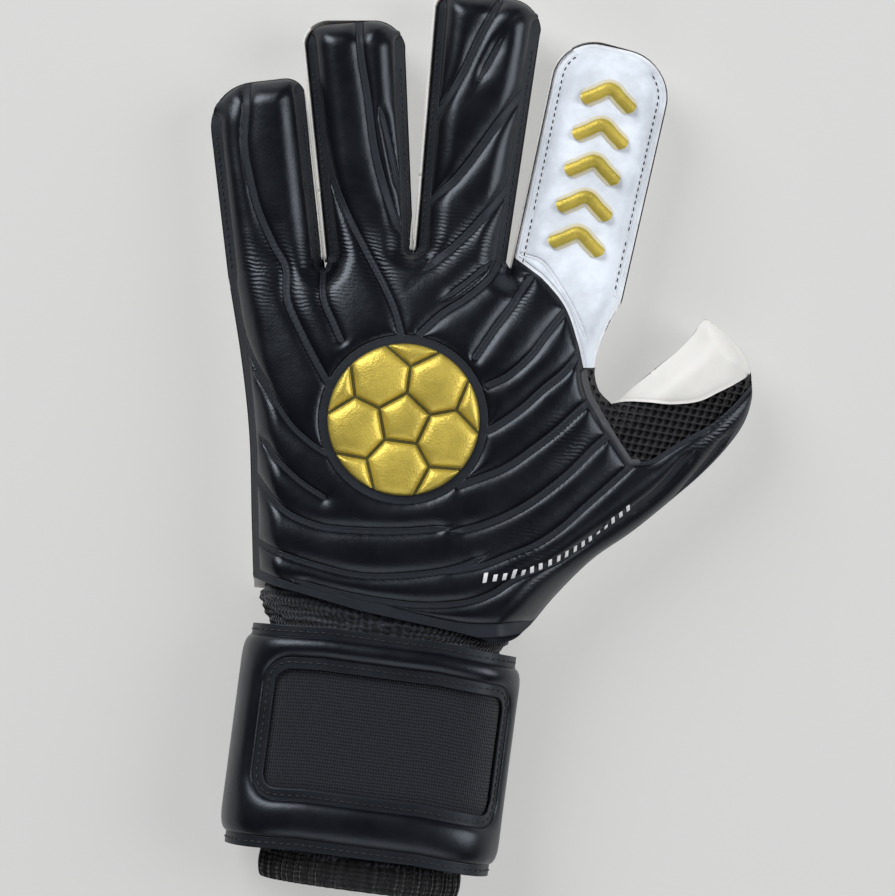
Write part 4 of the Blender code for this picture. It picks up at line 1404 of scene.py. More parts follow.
@dataclass(frozen=True)
class FingerBuild:
    """Back panel, palm latex, lining and stitches of one finger."""

    finger: Finger
    cell: float = 0.6
    back_thick: float = 2.2
    lining_inset: float = 4.6

    def segments(self) -> tuple[Segment, Segment]:
        """The finger's pieces: one bends at the knuckle and one at the middle hinge.

        Returns:
            The proximal piece and the distal piece.
        """
        name, bend = self.finger.name, self.finger.bend
        split = (HINGE_AHEAD + bend - MIDDLE_REACH) / 2
        return (
            Segment("proximal", -HINGE_BACK, split, ("hand", f"{name}_proximal"), (-HINGE_BACK, HINGE_AHEAD)),
            Segment("distal", split, None, (f"{name}_proximal", f"{name}_distal"),
                    (bend - MIDDLE_REACH, bend + MIDDLE_REACH)),
        )

    def blend(self, segment: Segment) -> tuple:
        """What dress() takes for one of the pieces: its two bodies and two points along the finger."""
        start, end = self.finger.place([(0, segment.turn[0]), (0, segment.turn[1])])
        return (*segment.bodies, (*start, 0.0), (*end, 0.0))

    def chart(self, segment: Segment, spread: tuple[float, float] = (0.0, 0.0)) -> Chart:
        """The plane's part that a piece covers.

        Args:
            segment: the piece.
            spread: how far outside the outline it reaches, left and right.

        Returns:
            The chart.
        """
        finger = self.finger
        if segment.end is None:
            left, right = (finger.side(sign, segment.start, spread[sign > 0]) for sign in (-1, 1))
            high = np.vstack([left[-1:], finger.wide_tip(spread)[1:-1], right[-1:]])
            chart = coons(np.array((left[0], right[0])), high, left, right)
            return lambda u, v: finger.keep_inside(chart(u, v), spread)
        ys = np.linspace(segment.start, segment.end, 12)
        left, right = (finger.place([(sign * (finger.half(y) + spread[sign > 0]), y) for y in ys])
                       for sign in (-1, 1))
        return coons(np.array((left[0], right[0])), np.array((left[-1], right[-1])), left, right)

    def cells(self, segment: Segment) -> tuple[int, int]:
        """How many cells a piece has across and ahead."""
        end = segment.end or self.finger.length
        return int(2 * self.finger.half_tip / self.cell), int((end - segment.start) / self.cell)

    def build(self, surface: Surface, material: str, slot: Slot) -> None:
        """Makes the finger's pieces.

        Args:
            surface: the surface of its back.
            material: the back's finish.
            slot: the back's material slot.
        """
        for segment in self.segments():
            label = f"{self.finger.name}_{segment.name}"
            blend = self.blend(segment)
            joins = (False, False, True, segment.end is not None)
            nodes = [f"{label}_back"]
            chart, cells = self.chart(segment), self.cells(segment)
            if self.finger.name == "index" and segment.end is not None:
                nodes.append("index_base_panel")
                chart, cells = index_base_chart(self.finger, segment.end), (80, 100)
                joins = (False, False, False, True)
            back = panel(f"{label}_back_panel", chart, surface, cells, self.back_thick,
                         MATERIALS[material], joins)
            dress(back, slot, *nodes, blend=blend)
            across, ahead = self.cells(segment)
            drawn = denser_at_edges(self.chart(segment, self.finger.palm_shows), False, segment.end is None)
            palm = panel(f"{label}_palm_latex", drawn, PALM_SURFACE, (across, int(ahead * 0.7)),
                         -PALM_SHELL, MATERIALS["latex"], (False, False, True, segment.end is not None))
            dress(palm, Slot.WHITE_LATEX, f"{label}_palm", blend=blend)
            self.build_lining(segment, label, blend)
            self.build_stitches(segment, label, blend, surface)

    def build_lining(self, segment: Segment, label: str, blend: tuple) -> None:
        """Makes the lining sleeve inside a piece.

        Args:
            segment: the piece.
            label: its name.
            blend: what dress() takes for a piece that bends.
        """
        end = segment.end or self.finger.length - 6.0
        half = self.finger.half_base - self.lining_inset
        closes = 0.0 if segment.end else 8.0
        sleeve = DigitLining(label, (segment.start, end), half, 6.0, closes, (32, 24), 60.0)
        sleeve.build(self.finger.place, blend, f"{label}_palm_latex")

    def build_stitches(self, segment: Segment, label: str, blend: tuple, surface: Surface) -> None:
        """Makes the stitches on the flanges of a piece.

        Args:
            segment: the piece.
            label: its name.
            blend: what dress() takes for a piece that bends.
            surface: the surface of its back.
        """
        finger = self.finger
        white = finger.name == "index"
        low = max(segment.start, 2.0)
        high = segment.end or finger.length - 15.0
        lines = []
        for sign in (-1, 1):
            ys = np.linspace(low, high, 20)
            lines.append(finger.place([(sign * (finger.half(y) - 1.5), y) for y in ys]))
        if white:
            lines = [offset_line(finger.side(sign, low), sign * INDEX_EDGE) for sign in (-1, 1)]
            if segment.end is not None:
                lines = [line[finger.local(line)[:, 1] < high] for line in lines]
        rows = stitches(f"{label}_stitches", lines, surface, Thread(), MATERIALS["thread"])
        dress(rows, Slot.BLACK_FOAM, blend=blend)


def index_base_chart(index: Finger, end: float) -> Chart:
    """The white panel from the diagonal seam and the web's edge to half way up the index finger.

    Args:
        index: the index finger.
        end: how far up the finger it goes.

    Returns:
        The chart.
    """
    far = index.cross(end)
    left = np.vstack([INDEX_SEAM[:1], far[:1]])
    web = part_of(WEB_EDGE, (55.0, 30.2), (60.2, 52.5))
    right = np.vstack([(50.6, 29.4), web, far[1:]])
    return coons(INDEX_SEAM, far, left, right)


def palm_edges() -> list[tuple[Array, float]]:
    """The outline of the palm side, a little outside that of the back, each with its flat rim's width.

    Returns:
        The edges, and the width of the flat rim of each.
    """
    edges = []
    for finger in FINGERS.values():
        for sign in (-1, 1):
            shows = finger.palm_shows[sign > 0]
            edges.append((finger.side(sign, -1.0, shows), max(shows - 0.4, 0.0)))
        edges.append((finger.wide_tip(finger.palm_shows), 0.0))
    left = LEFT_SIDE.copy()
    left[:, 0] -= 0.3
    return edges + [(line, 0.0) for line in (left, THUMB_SIDE, THUMB_END, THUMB_INSIDE, WEB_EDGE)]


PALM_EDGES = palm_edges()
PALM_ROLL = 8.0
PALM_CREASES = (
    curve_through(((-58, 30), (-40, 26), (-15, 30), (10, 34), (35, 30), (52, 27))),
    curve_through(((48, 16), (28, 12), (8, -2), (-2, -22), (-3, -45))),
    curve_through(((-52, 12), (-30, 14), (-5, 12), (20, 14), (40, 20))),
)


def palm_surface(xy: Array) -> tuple[Array, dict[str, Array]]:
    """The palm side: flat below and round at its edges, with the creases of a bending hand.

    Args:
        xy: points of the plane.

    Returns:
        Points in space, with their attributes.
    """
    apart = np.full(len(xy), PALM_ROLL)
    for edge, rim in PALM_EDGES:
        apart = np.minimum(apart, np.maximum(line_distance(xy, edge, PALM_ROLL + rim)[0] - rim, 0.0))
    share = np.clip(apart / PALM_ROLL, 0, 1)
    z = (SEAM_Z - 0.2) * (1 - np.sqrt(np.clip(1 - (1 - share) ** 2, 0, 1)))
    crease = np.zeros(len(xy))
    for line in PALM_CREASES:
        crease += np.exp(-((line_distance(xy, line, 6.0)[0] / 1.3) ** 2))
    for finger in FINGERS.values():
        for at in (0.0, finger.bend):
            line = finger.cross(at, -3.0)
            crease += np.exp(-((line_distance(xy, line, 6.0)[0] / 1.3) ** 2))
    return np.column_stack([xy, z + 0.9 * np.clip(crease, 0, 1) * ease(share, 0.3, 1.0)]), {}


PALM_SURFACE: Surface = palm_surface


def raised(surface: Surface, path: Array, half: float, lift: float, height: float) -> Surface:
    """A round-topped band on a surface.

    Args:
        surface: what it lies on.
        path: its middle line.
        half: half its width.
        lift: how far its edges stand over the surface.
        height: how much its middle rises over its edges.

    Returns:
        The band's own surface.
    """
    def band(xy: Array) -> tuple[Array, dict[str, Array]]:
        """The band over the surface.

        Args:
            xy: points of the plane.

        Returns:
            Points in space, with their attributes.
        """
        points, normal = sample(surface, xy)
        apart = line_distance(xy, path, 3 * half)[0]
        dome = np.sqrt(np.clip(1 - (apart / half) ** 2, 0, 1))
        return points + normal * (lift + height * dome)[:, None], {"gap": np.full(len(xy), 3.0)}
    return band


def ribbon_chart(path: Array, half: float) -> Chart:
    """A chart of a band about a path, with round ends.

    Args:
        path: the band's middle line.
        half: half its width.

    Returns:
        The chart.
    """
    place = lengths_along(path)
    side = offset_line(path, 1.0) - path

    def chart(u: Array, v: Array) -> Array:
        """Points beside the path, nearer to it at its ends.

        Args:
            u: shares across.
            v: shares ahead.

        Returns:
            Points of the plane.
        """
        wanted = v * place[-1]
        middle = along_line(path, v)
        normal = np.stack([np.interp(wanted, place, side[:, k]) for k in range(2)], axis=-1)
        to_end = np.clip(np.minimum(wanted, place[-1] - wanted) / half, 0, 1)
        width = half * np.sqrt(np.clip(1 - (1 - to_end) ** 2, 0.02, 1))
        return middle + normal * ((1 - 2 * u) * width)[:, None]
    return chart


def ribbon(name: str, path: Array, half: float, surface: Surface, lift: float, height: float,
           material: bpy.types.Material, cell: float = 0.45, thick: float = 0.5) -> bpy.types.Object:
    """A round-topped band sewn, printed or moulded on a surface.

    Args:
        name: the piece's name.
        path: its middle line.
        half: half its width.
        surface: what it lies on.
        lift: how far its edges stand over the surface.
        height: how much its middle rises over its edges.
        material: its finish.
        cell: the size of its cells.
        thick: how far it reaches into the surface.

    Returns:
        The piece.
    """
    cells = (max(int(2 * half / cell), 6), int(lengths_along(path)[-1] / cell))
    return panel(name, ribbon_chart(path, half), raised(surface, path, half, lift, height), cells, thick,
                 material)


THUMB_SPLIT_IN = (73.1, 30.9)
THUMB_SPLIT_LATEX = (83.6, 22.5)
THUMB_SPLIT_STRIP = (91.2, 16.2)
THUMB_SPLIT_OUT = (99.1, 10.7)
THUMB_STRIP = (74.4, 3.3)
STRIP_START = (69.6, 2.1)
INDEX_CORNER = (36.0, 52.6)  # where the backhand ends on the index seam
NET_CORNER = (50.6, 29.4)
NET_EDGE = (55.0, 30.2)
NET_DROP = 2.2


def net_height(xy: Array) -> Array:
    """Height of the web's mesh, a little under the panels about it."""
    return back_height(xy) - NET_DROP * ease(SILHOUETTE.apart(xy), 0.0, 6.0)


def net_surface(xy: Array) -> tuple[Array, dict[str, Array]]:
    """Spacer mesh: a thick net with oval holes in rows.

    Args:
        xy: points of the plane.

    Returns:
        Points in space, with their attributes.
    """
    turn = math.radians(38.0)
    across = xy[:, 0] * math.cos(turn) + xy[:, 1] * math.sin(turn)
    ahead = -xy[:, 0] * math.sin(turn) + xy[:, 1] * math.cos(turn)
    nearest = np.full(len(xy), 9.0)
    for shift in (0.0, 0.5):
        a = (across / 3.6 + shift + 0.5) % 1.0 - 0.5
        b = (ahead / 3.0 + shift + 0.5) % 1.0 - 0.5
        nearest = np.minimum(nearest, np.hypot(a * 3.6 / 1.15, b * 3.0))
    rim = ease(nearest, 0.45, 1.0)
    z = net_height(xy) + 1.3 * rim + 0.25 * ease(nearest, 1.0, 1.5)
    return np.column_stack([xy, z]), {"gap": rim * 2 - 1}


@dataclass(frozen=True)
class ThumbBuild:
    """The thumb: latex towards the index finger, a strip of mesh, foam outside and latex below."""

    cell: float = 0.55
    thick: float = 2.2
    base_turn: tuple[float, float] = (-1.0, 14.0)
    tip_turn: tuple[float, float] = (-3.0, 11.0)

    def blends(self) -> dict[str, tuple]:
        """How the two pieces bend: about the base hinge and about the tip hinge.

        Returns:
            What dress() takes for each piece.
        """
        base = np.array([math.sin(math.radians(THUMB_LEAN)), math.cos(math.radians(THUMB_LEAN))])
        tip = np.array([math.sin(math.radians(THUMB_TIP_LEAN)), math.cos(math.radians(THUMB_TIP_LEAN))])
        rows = {}
        for name, bodies, origin, way, turn in (
                ("proximal", ("hand", "thumb_proximal"), THUMB_IN, base, self.base_turn),
                ("distal", ("thumb_proximal", "thumb_distal"), THUMB_TIP_HINGE, tip, self.tip_turn)):
            ends = [tuple(np.array(origin) + way * at) + (0.0,) for at in turn]
            rows[name] = (*bodies, *ends)
        return rows

    def charts(self) -> dict[str, dict[str, Chart]]:
        """The plane's parts of latex, mesh, foam and palm, for both pieces.

        Returns:
            The charts, by piece and by kind.
        """
        inner_end = tuple(THUMB_INSIDE[0])
        outer_end = tuple(THUMB_END[0])
        latex_end, strip_end, back_end = (103.3, 34.9), (103.8, 31.3), (104.7, 30.0)
        hinge = {"in": THUMB_IN, "latex": (61.7, 19.6), "strip": THUMB_STRIP, "out": THUMB_OUT}
        split = {"in": THUMB_SPLIT_IN, "latex": THUMB_SPLIT_LATEX, "strip": THUMB_SPLIT_STRIP,
                 "out": THUMB_SPLIT_OUT}
        inside = THUMB_INSIDE[::-1]
        lines = {"in": inside, "latex": LATEX_SEAM, "strip": STRIP_SEAM, "out": THUMB_SIDE}
        ends = {"in": inner_end, "latex": latex_end, "strip": strip_end, "out": outer_end}
        tip = THUMB_END[::-1]
        pieces = {"proximal": {}, "distal": {}}
        for kind, left, right in (("latex", "in", "latex"), ("mesh", "latex", "strip"), ("palm", "in", "out"),
                                  ("back", "strip", "out")):
            near, far = np.array((hinge[left], hinge[right])), np.array((split[left], split[right]))
            pieces["proximal"][kind] = coons(near, far, part_of(lines[left], hinge[left], split[left]),
                                             part_of(lines[right], hinge[right], split[right]))
            if kind == "back":
                ends["out"] = back_end
            end = np.array((ends[left], ends[right]), float)
            if left == "in":
                end = part_of(tip, ends[left], ends[right])
            pieces["distal"][kind] = coons(far, end, part_of(lines[left], split[left], ends[left]),
                                           part_of(lines[right], split[right], ends[right]))
        return pieces

    def build(self) -> None:
        """Makes the thumb's pieces."""
        looks = {"latex": (LATEX_SURFACE, "latex", Slot.WHITE_LATEX),
                 "mesh": (net_surface, "mesh", Slot.MESH),
                 "back": (BLACK_SURFACE, "foam", Slot.BLACK_FOAM),
                 "palm": (PALM_SURFACE, "latex", Slot.WHITE_LATEX)}
        sizes = {"latex": (34, 60), "mesh": (50, 70), "back": (50, 60), "palm": (60, 55)}
        for segment, charts in self.charts().items():
            for kind, (surface, material, slot) in looks.items():
                chart, thick = charts[kind], self.thick
                if kind == "palm":
                    chart, thick = denser_at_edges(chart, False, segment == "distal"), -PALM_SHELL
                name = f"thumb_{segment}_{kind}"
                node = f"thumb_{segment}_{'latex' if kind == 'palm' else kind}"
                piece = panel(f"{name}_panel", chart, surface, sizes[kind], 1.2 if kind == "mesh" else thick,
                              MATERIALS[material], (False, False, kind != "mesh", segment == "proximal"))
                dress(piece, slot, node, blend=self.blends()[segment])
            self.build_lining(segment)

    def build_lining(self, segment: str) -> None:
        """Makes the lining sleeve inside one of the thumb's pieces.

        Args:
            segment: the name of the piece that it is in.
        """
        start, end = ((70.5, 6.5), (84.5, 19.5)) if segment == "proximal" else ((84.5, 19.5), (96.0, 36.0))
        line = np.array((start, end))
        length = float(np.hypot(*(line[1] - line[0])))
        way = (line[1] - line[0]) / length
        side = np.array((way[1], -way[0]))
        closes = 6.0 if segment == "distal" else 0.0
        sleeve = DigitLining(f"thumb_{segment}", (0.0, length), 10.0, 5.5, closes, (28, 14), 50.0)
        sleeve.build(lambda flat: line[0] + flat[:, :1] * side + flat[:, 1:] * way, self.blends()[segment],
                     f"thumb_{segment}_palm_panel")


WRIST_EDGE = curve_through((WRIST_LEFT, (-40.0, -49.6), (-35.0, -50.3), (-25.0, -51.6), (-10.0, -54.0),
                            (0.0, -55.0), (15.0, -56.3), (25.0, -57.3), (34.0, -58.6), (39.5, -57.6),
                            WRIST_RIGHT))


@dataclass(frozen=True)
class HandBuild:
    """Backhand, knuckle corner, web, palm and lining, all on the hand."""

    thick: float = 1.9

    def back_chart(self) -> Chart:
        """The plane's part under the black back of the hand.

        Returns:
            The chart.
        """
        top = [FINGERS[name].cross(-HINGE_BACK) for name in ("pinky", "ring", "middle")]
        corner = FINGERS["index"].cross(-HINGE_BACK)
        seam = part_of(INDEX_SEAM, INDEX_CORNER, tuple(INDEX_SEAM[-1]))
        strip = part_of(STRIP_SEAM, STRIP_START, THUMB_STRIP)
        high = np.vstack([*top, corner[:1], seam, WEB_SEAM[1:], strip, (THUMB_OUT,)])
        left = LEFT_SIDE.copy()
        left[-1] = top[0][0]
        right = part_of(THUMB_SIDE, WRIST_RIGHT, THUMB_OUT)
        return coons(WRIST_EDGE, high, left, right)

    def build(self) -> None:
        """Makes the hand's pieces."""
        back = panel("backhand_panel", self.back_chart(), BLACK_SURFACE, (240, 200), self.thick,
                     MATERIALS["foam"], (False, False, False, True))
        dress(back, Slot.BLACK_FOAM, "backhand", body="hand")
        index = FINGERS["index"]
        corner = index.cross(-HINGE_BACK)
        seam = part_of(INDEX_SEAM, tuple(INDEX_SEAM[0]), INDEX_CORNER)
        chart = coons(np.array((corner[0], (36.2, 52.4))), seam, np.array((corner[0], seam[0])),
                      np.array(((36.2, 52.4), seam[-1])))
        piece = panel("index_knuckle_corner", chart, BLACK_SURFACE, (24, 18), self.thick, MATERIALS["foam"],
                      (False, False, True, False))
        dress(piece, Slot.BLACK_FOAM, blend=FingerBuild(index).blend(FingerBuild(index).segments()[0]))
        near = np.vstack([part_of(WEB_SEAM, NET_CORNER, (69.0, 2.0)),
                          part_of(STRIP_SEAM, STRIP_START, THUMB_STRIP)])
        chart = coons(near, part_of(WEB_EDGE[::-1], NET_EDGE, THUMB_IN), np.array((NET_CORNER, NET_EDGE)),
                      np.array((THUMB_STRIP, THUMB_IN)))
        net = panel("thumb_web_net", chart, net_surface, (90, 70), 1.2, MATERIALS["mesh"])
        dress(net, Slot.MESH, "thumb_web_mesh", body="hand")
        path = np.vstack([part_of(WEB_SEAM, (50.6, 28.8), (69.0, 2.2)), STRIP_SEAM[2:5]])
        binding = ribbon("web_binding", path, 1.0, BLACK_SURFACE, 0.0, 0.6, MATERIALS["tape"])
        dress(binding, Slot.MESH, body="hand")
        self.build_palm()
        self.build_lining()

    def build_palm(self) -> None:
        """Makes the latex of the palm."""
        far = [FINGERS[name].cross(-HINGE_BACK, 0.3) for name in ("pinky", "ring", "middle", "index")]
        far += [part_of(WEB_EDGE[::-1], (60.2, 52.0), THUMB_IN), (THUMB_OUT,)]
        high = np.vstack(far)
        left = LEFT_SIDE.copy()
        left[:, 0] -= 0.3
        left[0] = (-43.3, WRIST_Y)
        left[-1] = high[0]
        low = np.vstack([left[:1], WRIST_EDGE[4:-4], (WRIST_RIGHT,)])
        low[:, 1] = WRIST_Y
        chart = coons(low, high, left, part_of(THUMB_SIDE, WRIST_RIGHT, THUMB_OUT))
        chart = denser_at_edges(chart, False, False)
        palm = panel("palm_latex_panel", chart, PALM_SURFACE, (150, 110), -PALM_SHELL,
                     MATERIALS["latex"])
        dress(palm, Slot.WHITE_LATEX, "palm_latex", body="hand")

    def build_lining(self) -> None:
        """Makes the lining inside the hand."""
        widths = ((-70.0, 35.0), (-53.0, 35.5), (-20.0, 39.0), (10.0, 46.0), (42.0, 50.0), (60.0, 50.0))
        centres = ((-70.0, 1.0), (-53.0, 1.0), (-20.0, 3.0), (10.0, -1.0), (42.0, -2.0), (60.0, -2.0))

        def surface(flat: Array) -> tuple[Array, dict[str, Array]]:
            """A tube that follows the hand's width.

            Args:
                flat: shares round it and places along it.

            Returns:
                Points in space, with their attributes.
            """
            angle, y = flat[:, 0] * math.tau, flat[:, 1]
            sine, cosine = np.sin(angle), np.cos(angle)
            x = read_table(y, centres) + read_table(y, widths) * np.sign(sine) * np.abs(sine) ** 0.8
            z = 16.0 - 10.0 * np.sign(cosine) * np.abs(cosine) ** 0.8
            return np.column_stack([x, y, z]), {"across": flat[:, 0] * 220.0, "ahead": y}

        lining = panel("hand_lining_cloth", strip_chart(WRIST_Y + 1.0, 40.0), surface, (80, 40), 0.8,
                       MATERIALS["lining"], closed=True)
        dress(lining, Slot.LINING, "hand_lining", body="hand")


@dataclass(frozen=True)
class TrimBuild:
    """The gold emblem, the gold marks on the index finger and the printed marks by the thumb."""

    radius: float = 23.5
    mark_half: float = 8.4
    print_pitch: float = 2.9

    def emblem_relief(self) -> Relief:
        """Plates of a ball's pattern: one in the middle, five about it, and the rim.

        Returns:
            The relief.
        """
        lines = [Line(ring_line(EMBLEM_CENTRE, self.radius + 0.2), 0.25)]
        inner, outer = 8.4, 16.6
        turns = np.radians(90 + 72 * np.arange(6))
        corner = EMBLEM_CENTRE + inner * np.stack([np.cos(turns), np.sin(turns)], axis=-1)
        for k in range(5):
            lines.append(Line(corner[k : k + 2], 0.55))
            way = (corner[k] - EMBLEM_CENTRE) / inner
            fork = EMBLEM_CENTRE + way * outer
            lines.append(Line(np.array((corner[k], fork)), 0.55))
            for turn in (-57, 57):
                angle = math.radians(turn)
                spread = np.array((way[0] * math.cos(angle) - way[1] * math.sin(angle),
                                   way[0] * math.sin(angle) + way[1] * math.cos(angle)))
                lines.append(Line(np.array((fork, fork + spread * 11.6)), 0.55))
        return Relief(tuple(lines), 3.0, 2.4)

    def build_emblem(self) -> None:
        """Makes the emblem."""
        relief = self.emblem_relief()
        centre, radius = EMBLEM_CENTRE, self.radius

        def chart(u: Array, v: Array) -> Array:
            """A disc, from its middle outwards.

            Args:
                u: shares across.
                v: shares ahead.

            Returns:
                Points of the plane.
            """
            angle = u * math.tau
            away = radius * np.clip(v, 0.0, 1.0)
            return centre + np.stack([np.sin(angle) * away, np.cos(angle) * away], axis=-1)

        surface = with_relief(lambda xy: back_height(xy) + 0.35, relief)
        emblem = panel("emblem_plates", chart, surface, (240, 64), 0.9, MATERIALS["plates"],
                       (True, True, True, False), closed=True)
        dress(emblem, Slot.GOLD, "emblem", body="hand")

    def build_marks(self) -> None:
        """Makes the stacked chevrons along the index finger."""
        index = FINGERS["index"]
        builder = FingerBuild(index)
        for segment, places in zip(builder.segments(), ((16.0, ), (27.5, 39.0, 50.5, 62.0))):
            for place in places:
                path = curve_through(tuple(map(tuple, index.place(
                    [(-self.mark_half, place - 4.4), (-self.mark_half / 2, place - 1.6), (0, place + 1.0),
                     (self.mark_half / 2, place - 1.6), (self.mark_half, place - 4.4)]))))
                label = f"index_{segment.name}_mark_{int(place)}"
                for suffix, half, height, finish in (("outline", 3.0, 0.6, "ivory"), ("", 2.15, 1.6, "gold")):
                    piece = ribbon(label + suffix, path, half, WHITE_SURFACE, 0.05, height, MATERIALS[finish])
                    dress(piece, Slot.GOLD, f"index_{segment.name}_relief", blend=builder.blend(segment))

    def build_print(self) -> None:
        """Makes the row of small slanted printed marks beside the thumb."""
        path = curve_through(((27.5, -40.0), (42.0, -35.2), (57.0, -25.0), (70.5, -10.5)))
        count = int(lengths_along(path)[-1] / self.print_pitch)
        share = (np.arange(count) + 0.5) / count
        here, normal = sample(BLACK_SURFACE, along_line(path, share))
        there = sample(BLACK_SURFACE, along_line(path, np.clip(share + 0.02, 0, 1)))[0]
        bm = bmesh.new()
        for k, (point, ahead, up) in enumerate(zip(here, there, normal)):
            way = Vector(ahead - point).normalized()
            up = Vector(up)
            side = up.cross(way).normalized()
            turn = Matrix((way, side, up)).transposed().to_4x4()
            lean = Matrix.Identity(4)
            lean[0][1] = 0.35
            tall = 3.0 if k % 3 == 0 else 2.1
            size = Matrix.Diagonal((1.3, tall, 0.3, 1.0))
            shift = Matrix.Translation((0, (tall - 2.1) / 2, 0.3))
            bmesh.ops.create_cube(bm, size=1.0, matrix=Matrix.Scale(MM, 4) @ Matrix.Translation(Vector(point))
                                  @ turn @ shift @ lean @ size)
        bmesh.ops.bevel(bm, geom=bm.edges, offset=0.1 * MM, segments=1, affect="EDGES", profile=0.5,
                        material=-1)
        mesh = bpy.data.meshes.new("side_print_marks")
        bm.to_mesh(mesh)
        bm.free()
        marks = new_piece("side_print_marks", mesh, MATERIALS["print"])
        dress(marks, Slot.PRINT, "side_print", body="hand")

    def build(self) -> None:
        """Makes all the trim."""
        self.build_emblem()
        self.build_marks()
        self.build_print()


def rounded_box(left: float, right: float, low: float, high: float, radius: float) -> Array:
    """A closed outline of a rectangle with round corners, from the middle of its top, clockwise.

    Args:
        left: its left side.
        right: its right side.
        low: its near side.
        high: its far side.
        radius: the radius of its corners.

    Returns:
        The outline.
    """
    points = [((left + right) / 2, high)]
    for x, y, turn in ((right, high, 90), (right, low, 0), (left, low, -90), (left, high, -180)):
        cx = x - radius if x > 0 else x + radius
        cy = y - radius if y == high else y + radius
        for angle in np.radians(np.linspace(turn, turn - 90, 9)):
            points.append((cx + radius * math.cos(angle), cy + radius * math.sin(angle)))
    points.append(points[0])
    return np.array(points)


@dataclass(frozen=True)
class CuffBuild:
    """Bandage sleeve and hem, and the strap with its window, band and closing tab."""

    strap_top: float = -60.5
    strap_bottom: float = -129.8
    flange: float = 3.6
    window_flange: float = 3.6
    depth: float = 3.0

    def section(self) -> Array:
        """The strap's cross-section without its relief, from the thumb-less side to the other."""
        side = ((18.0, 34.4), (30.5, 32.2), (37.2, 27.6), (40.4, 20.5), (41.3, 13.0), (41.0, 5.4))
        return curve_through((*((-x, z) for x, z in side[::-1]), (0.0, 35.0), *side), 16)

    def strap_point(self, flat: Array, rise: Array) -> Array:
        """Points of the strap: around the section and along the wrist, and off it by rise.

        Args:
            flat: places round the section and along the wrist.
            rise: how far off the section each lies.

        Returns:
            Points in space.
        """
        section = self.section()
        place = lengths_along(section)
        around = flat[:, 0] + place[-1] / 2
        middle = np.stack([np.interp(around, place, section[:, k]) for k in range(2)], axis=-1)
        way = np.gradient(section, axis=0) / np.gradient(place)[:, None]
        turn = np.stack([np.interp(around, place, way[:, k]) for k in range(2)], axis=-1)
        turn /= np.linalg.norm(turn, axis=1)[:, None]
        x = middle[:, 0] - turn[:, 1] * rise
        z = middle[:, 1] + turn[:, 0] * rise
        droop = 0.085 * np.clip(np.abs(flat[:, 0]) - 18.0, 0, None)
        return np.column_stack([x + 0.4, flat[:, 1] - droop, z])

    def outlines(self) -> tuple[Array, Array, float]:
        """The window's edge and the strap's edge, and half the section's length.

        Returns:
            The two outlines and the length.
        """
        half = lengths_along(self.section())[-1] / 2 - 0.2
        window = rounded_box(-32.0, 42.5, -111.0, -73.8, 5.0)
        outer = rounded_box(-half, half, self.strap_bottom, self.strap_top, 3.0)
        return window, outer, half

    def strap_surface(self) -> Surface:
        """The strap's pads between its sewn edges.

        Returns:
            The surface over places round the section and along the wrist.
        """
        window, outer, _ = self.outlines()
        lines = (Line(outer, self.flange), Line(window, self.window_flange))
        relief = Relief(lines, self.depth, 2.6)

        def surface(flat: Array) -> tuple[Array, dict[str, Array]]:
            """The pads on the section."""
            rise, gap = relief.read(flat)
            return self.strap_point(flat, rise), {"gap": gap, "crease": np.zeros(len(flat))}
        return surface

    def build_strap(self) -> None:
        """Makes the padded frame with its stitches."""
        window, outer, _ = self.outlines()
        shares = np.linspace(0, 1, 321)
        spokes = along_line(outer, shares)
        inner = along_line(window, shares)

        def chart(u: Array, v: Array) -> Array:
            """Spokes from the window's edge to the strap's edge.

            Args:
                u: shares across.
                v: shares ahead.

            Returns:
                Places round the section and along the wrist.
            """
            a = np.stack([np.interp(u % 1.0, shares, inner[:, k]) for k in range(2)], axis=-1)
            b = np.stack([np.interp(u % 1.0, shares, spokes[:, k]) for k in range(2)], axis=-1)
            return a + (b - a) * np.clip(v, 0, 1)[:, None]

        surface = self.strap_surface()
        pad = panel("strap_frame_pad", chart, surface, (320, 56), 2.6, MATERIALS["strap"], closed=True)
        dress(pad, Slot.BLACK_FOAM, "strap_frame", body="cuff")
        rows = [rounded_box(-34.0, 44.5, -113.0, -71.8, 6.5), np.array(((-50.0, -62.3), (50.0, -62.3))),
                np.array(((-52.0, -128.0), (52.0, -128.0)))]
        threads = stitches("strap_stitches", rows, surface, Thread(2.3, 1.7, 0.6), MATERIALS["thread"], 0.1)
        dress(threads, Slot.BLACK_FOAM, body="cuff")

    def build_window(self) -> None:
        """Makes the woven panel in the frame's window."""
        left, right, low, high = -35.0, 45.5, -114.0, -70.8

        def surface(flat: Array) -> tuple[Array, dict[str, Array]]:
            """The weave, a little under the frame."""
            points = self.strap_point(flat, np.full(len(flat), -1.0))
            return points, {"across": flat[:, 0], "ahead": flat[:, 1]}

        def chart(u: Array, v: Array) -> Array:
            """The window with its seam allowance."""
            return np.column_stack([left + (right - left) * u, low + (high - low) * v])

        window = panel("strap_window_weave", chart, surface, (100, 40), 1.2, MATERIALS["weave"])
        dress(window, Slot.WEAVE, "strap_window", body="cuff")

    def sleeve_point(self, flat: Array, swell: Array) -> Array:
        """Points of the sleeve: an angle's share and the place along the wrist, and how far out.

        Args:
            flat: shares of an angle and places along the wrist.
            swell: how far out each lies.

        Returns:
            Points in space.
        """
        angle, y = flat[:, 0] * math.tau, flat[:, 1]
        down = np.clip((y + 49.0) / -85.0, 0, 1)
        sine, cosine = np.sin(angle), np.cos(angle)
        half = 37.0 - 6.0 * down + 3.6 * np.exp(-(((y + 54.5) / 5.5) ** 2)) + swell
        x = 0.2 + 1.8 * down + half * np.sign(sine) * np.abs(sine) ** 0.75
        z = 18.4 - (11.0 + swell) * np.sign(cosine) * np.abs(cosine) ** 0.75
        return np.column_stack([x, y, z])

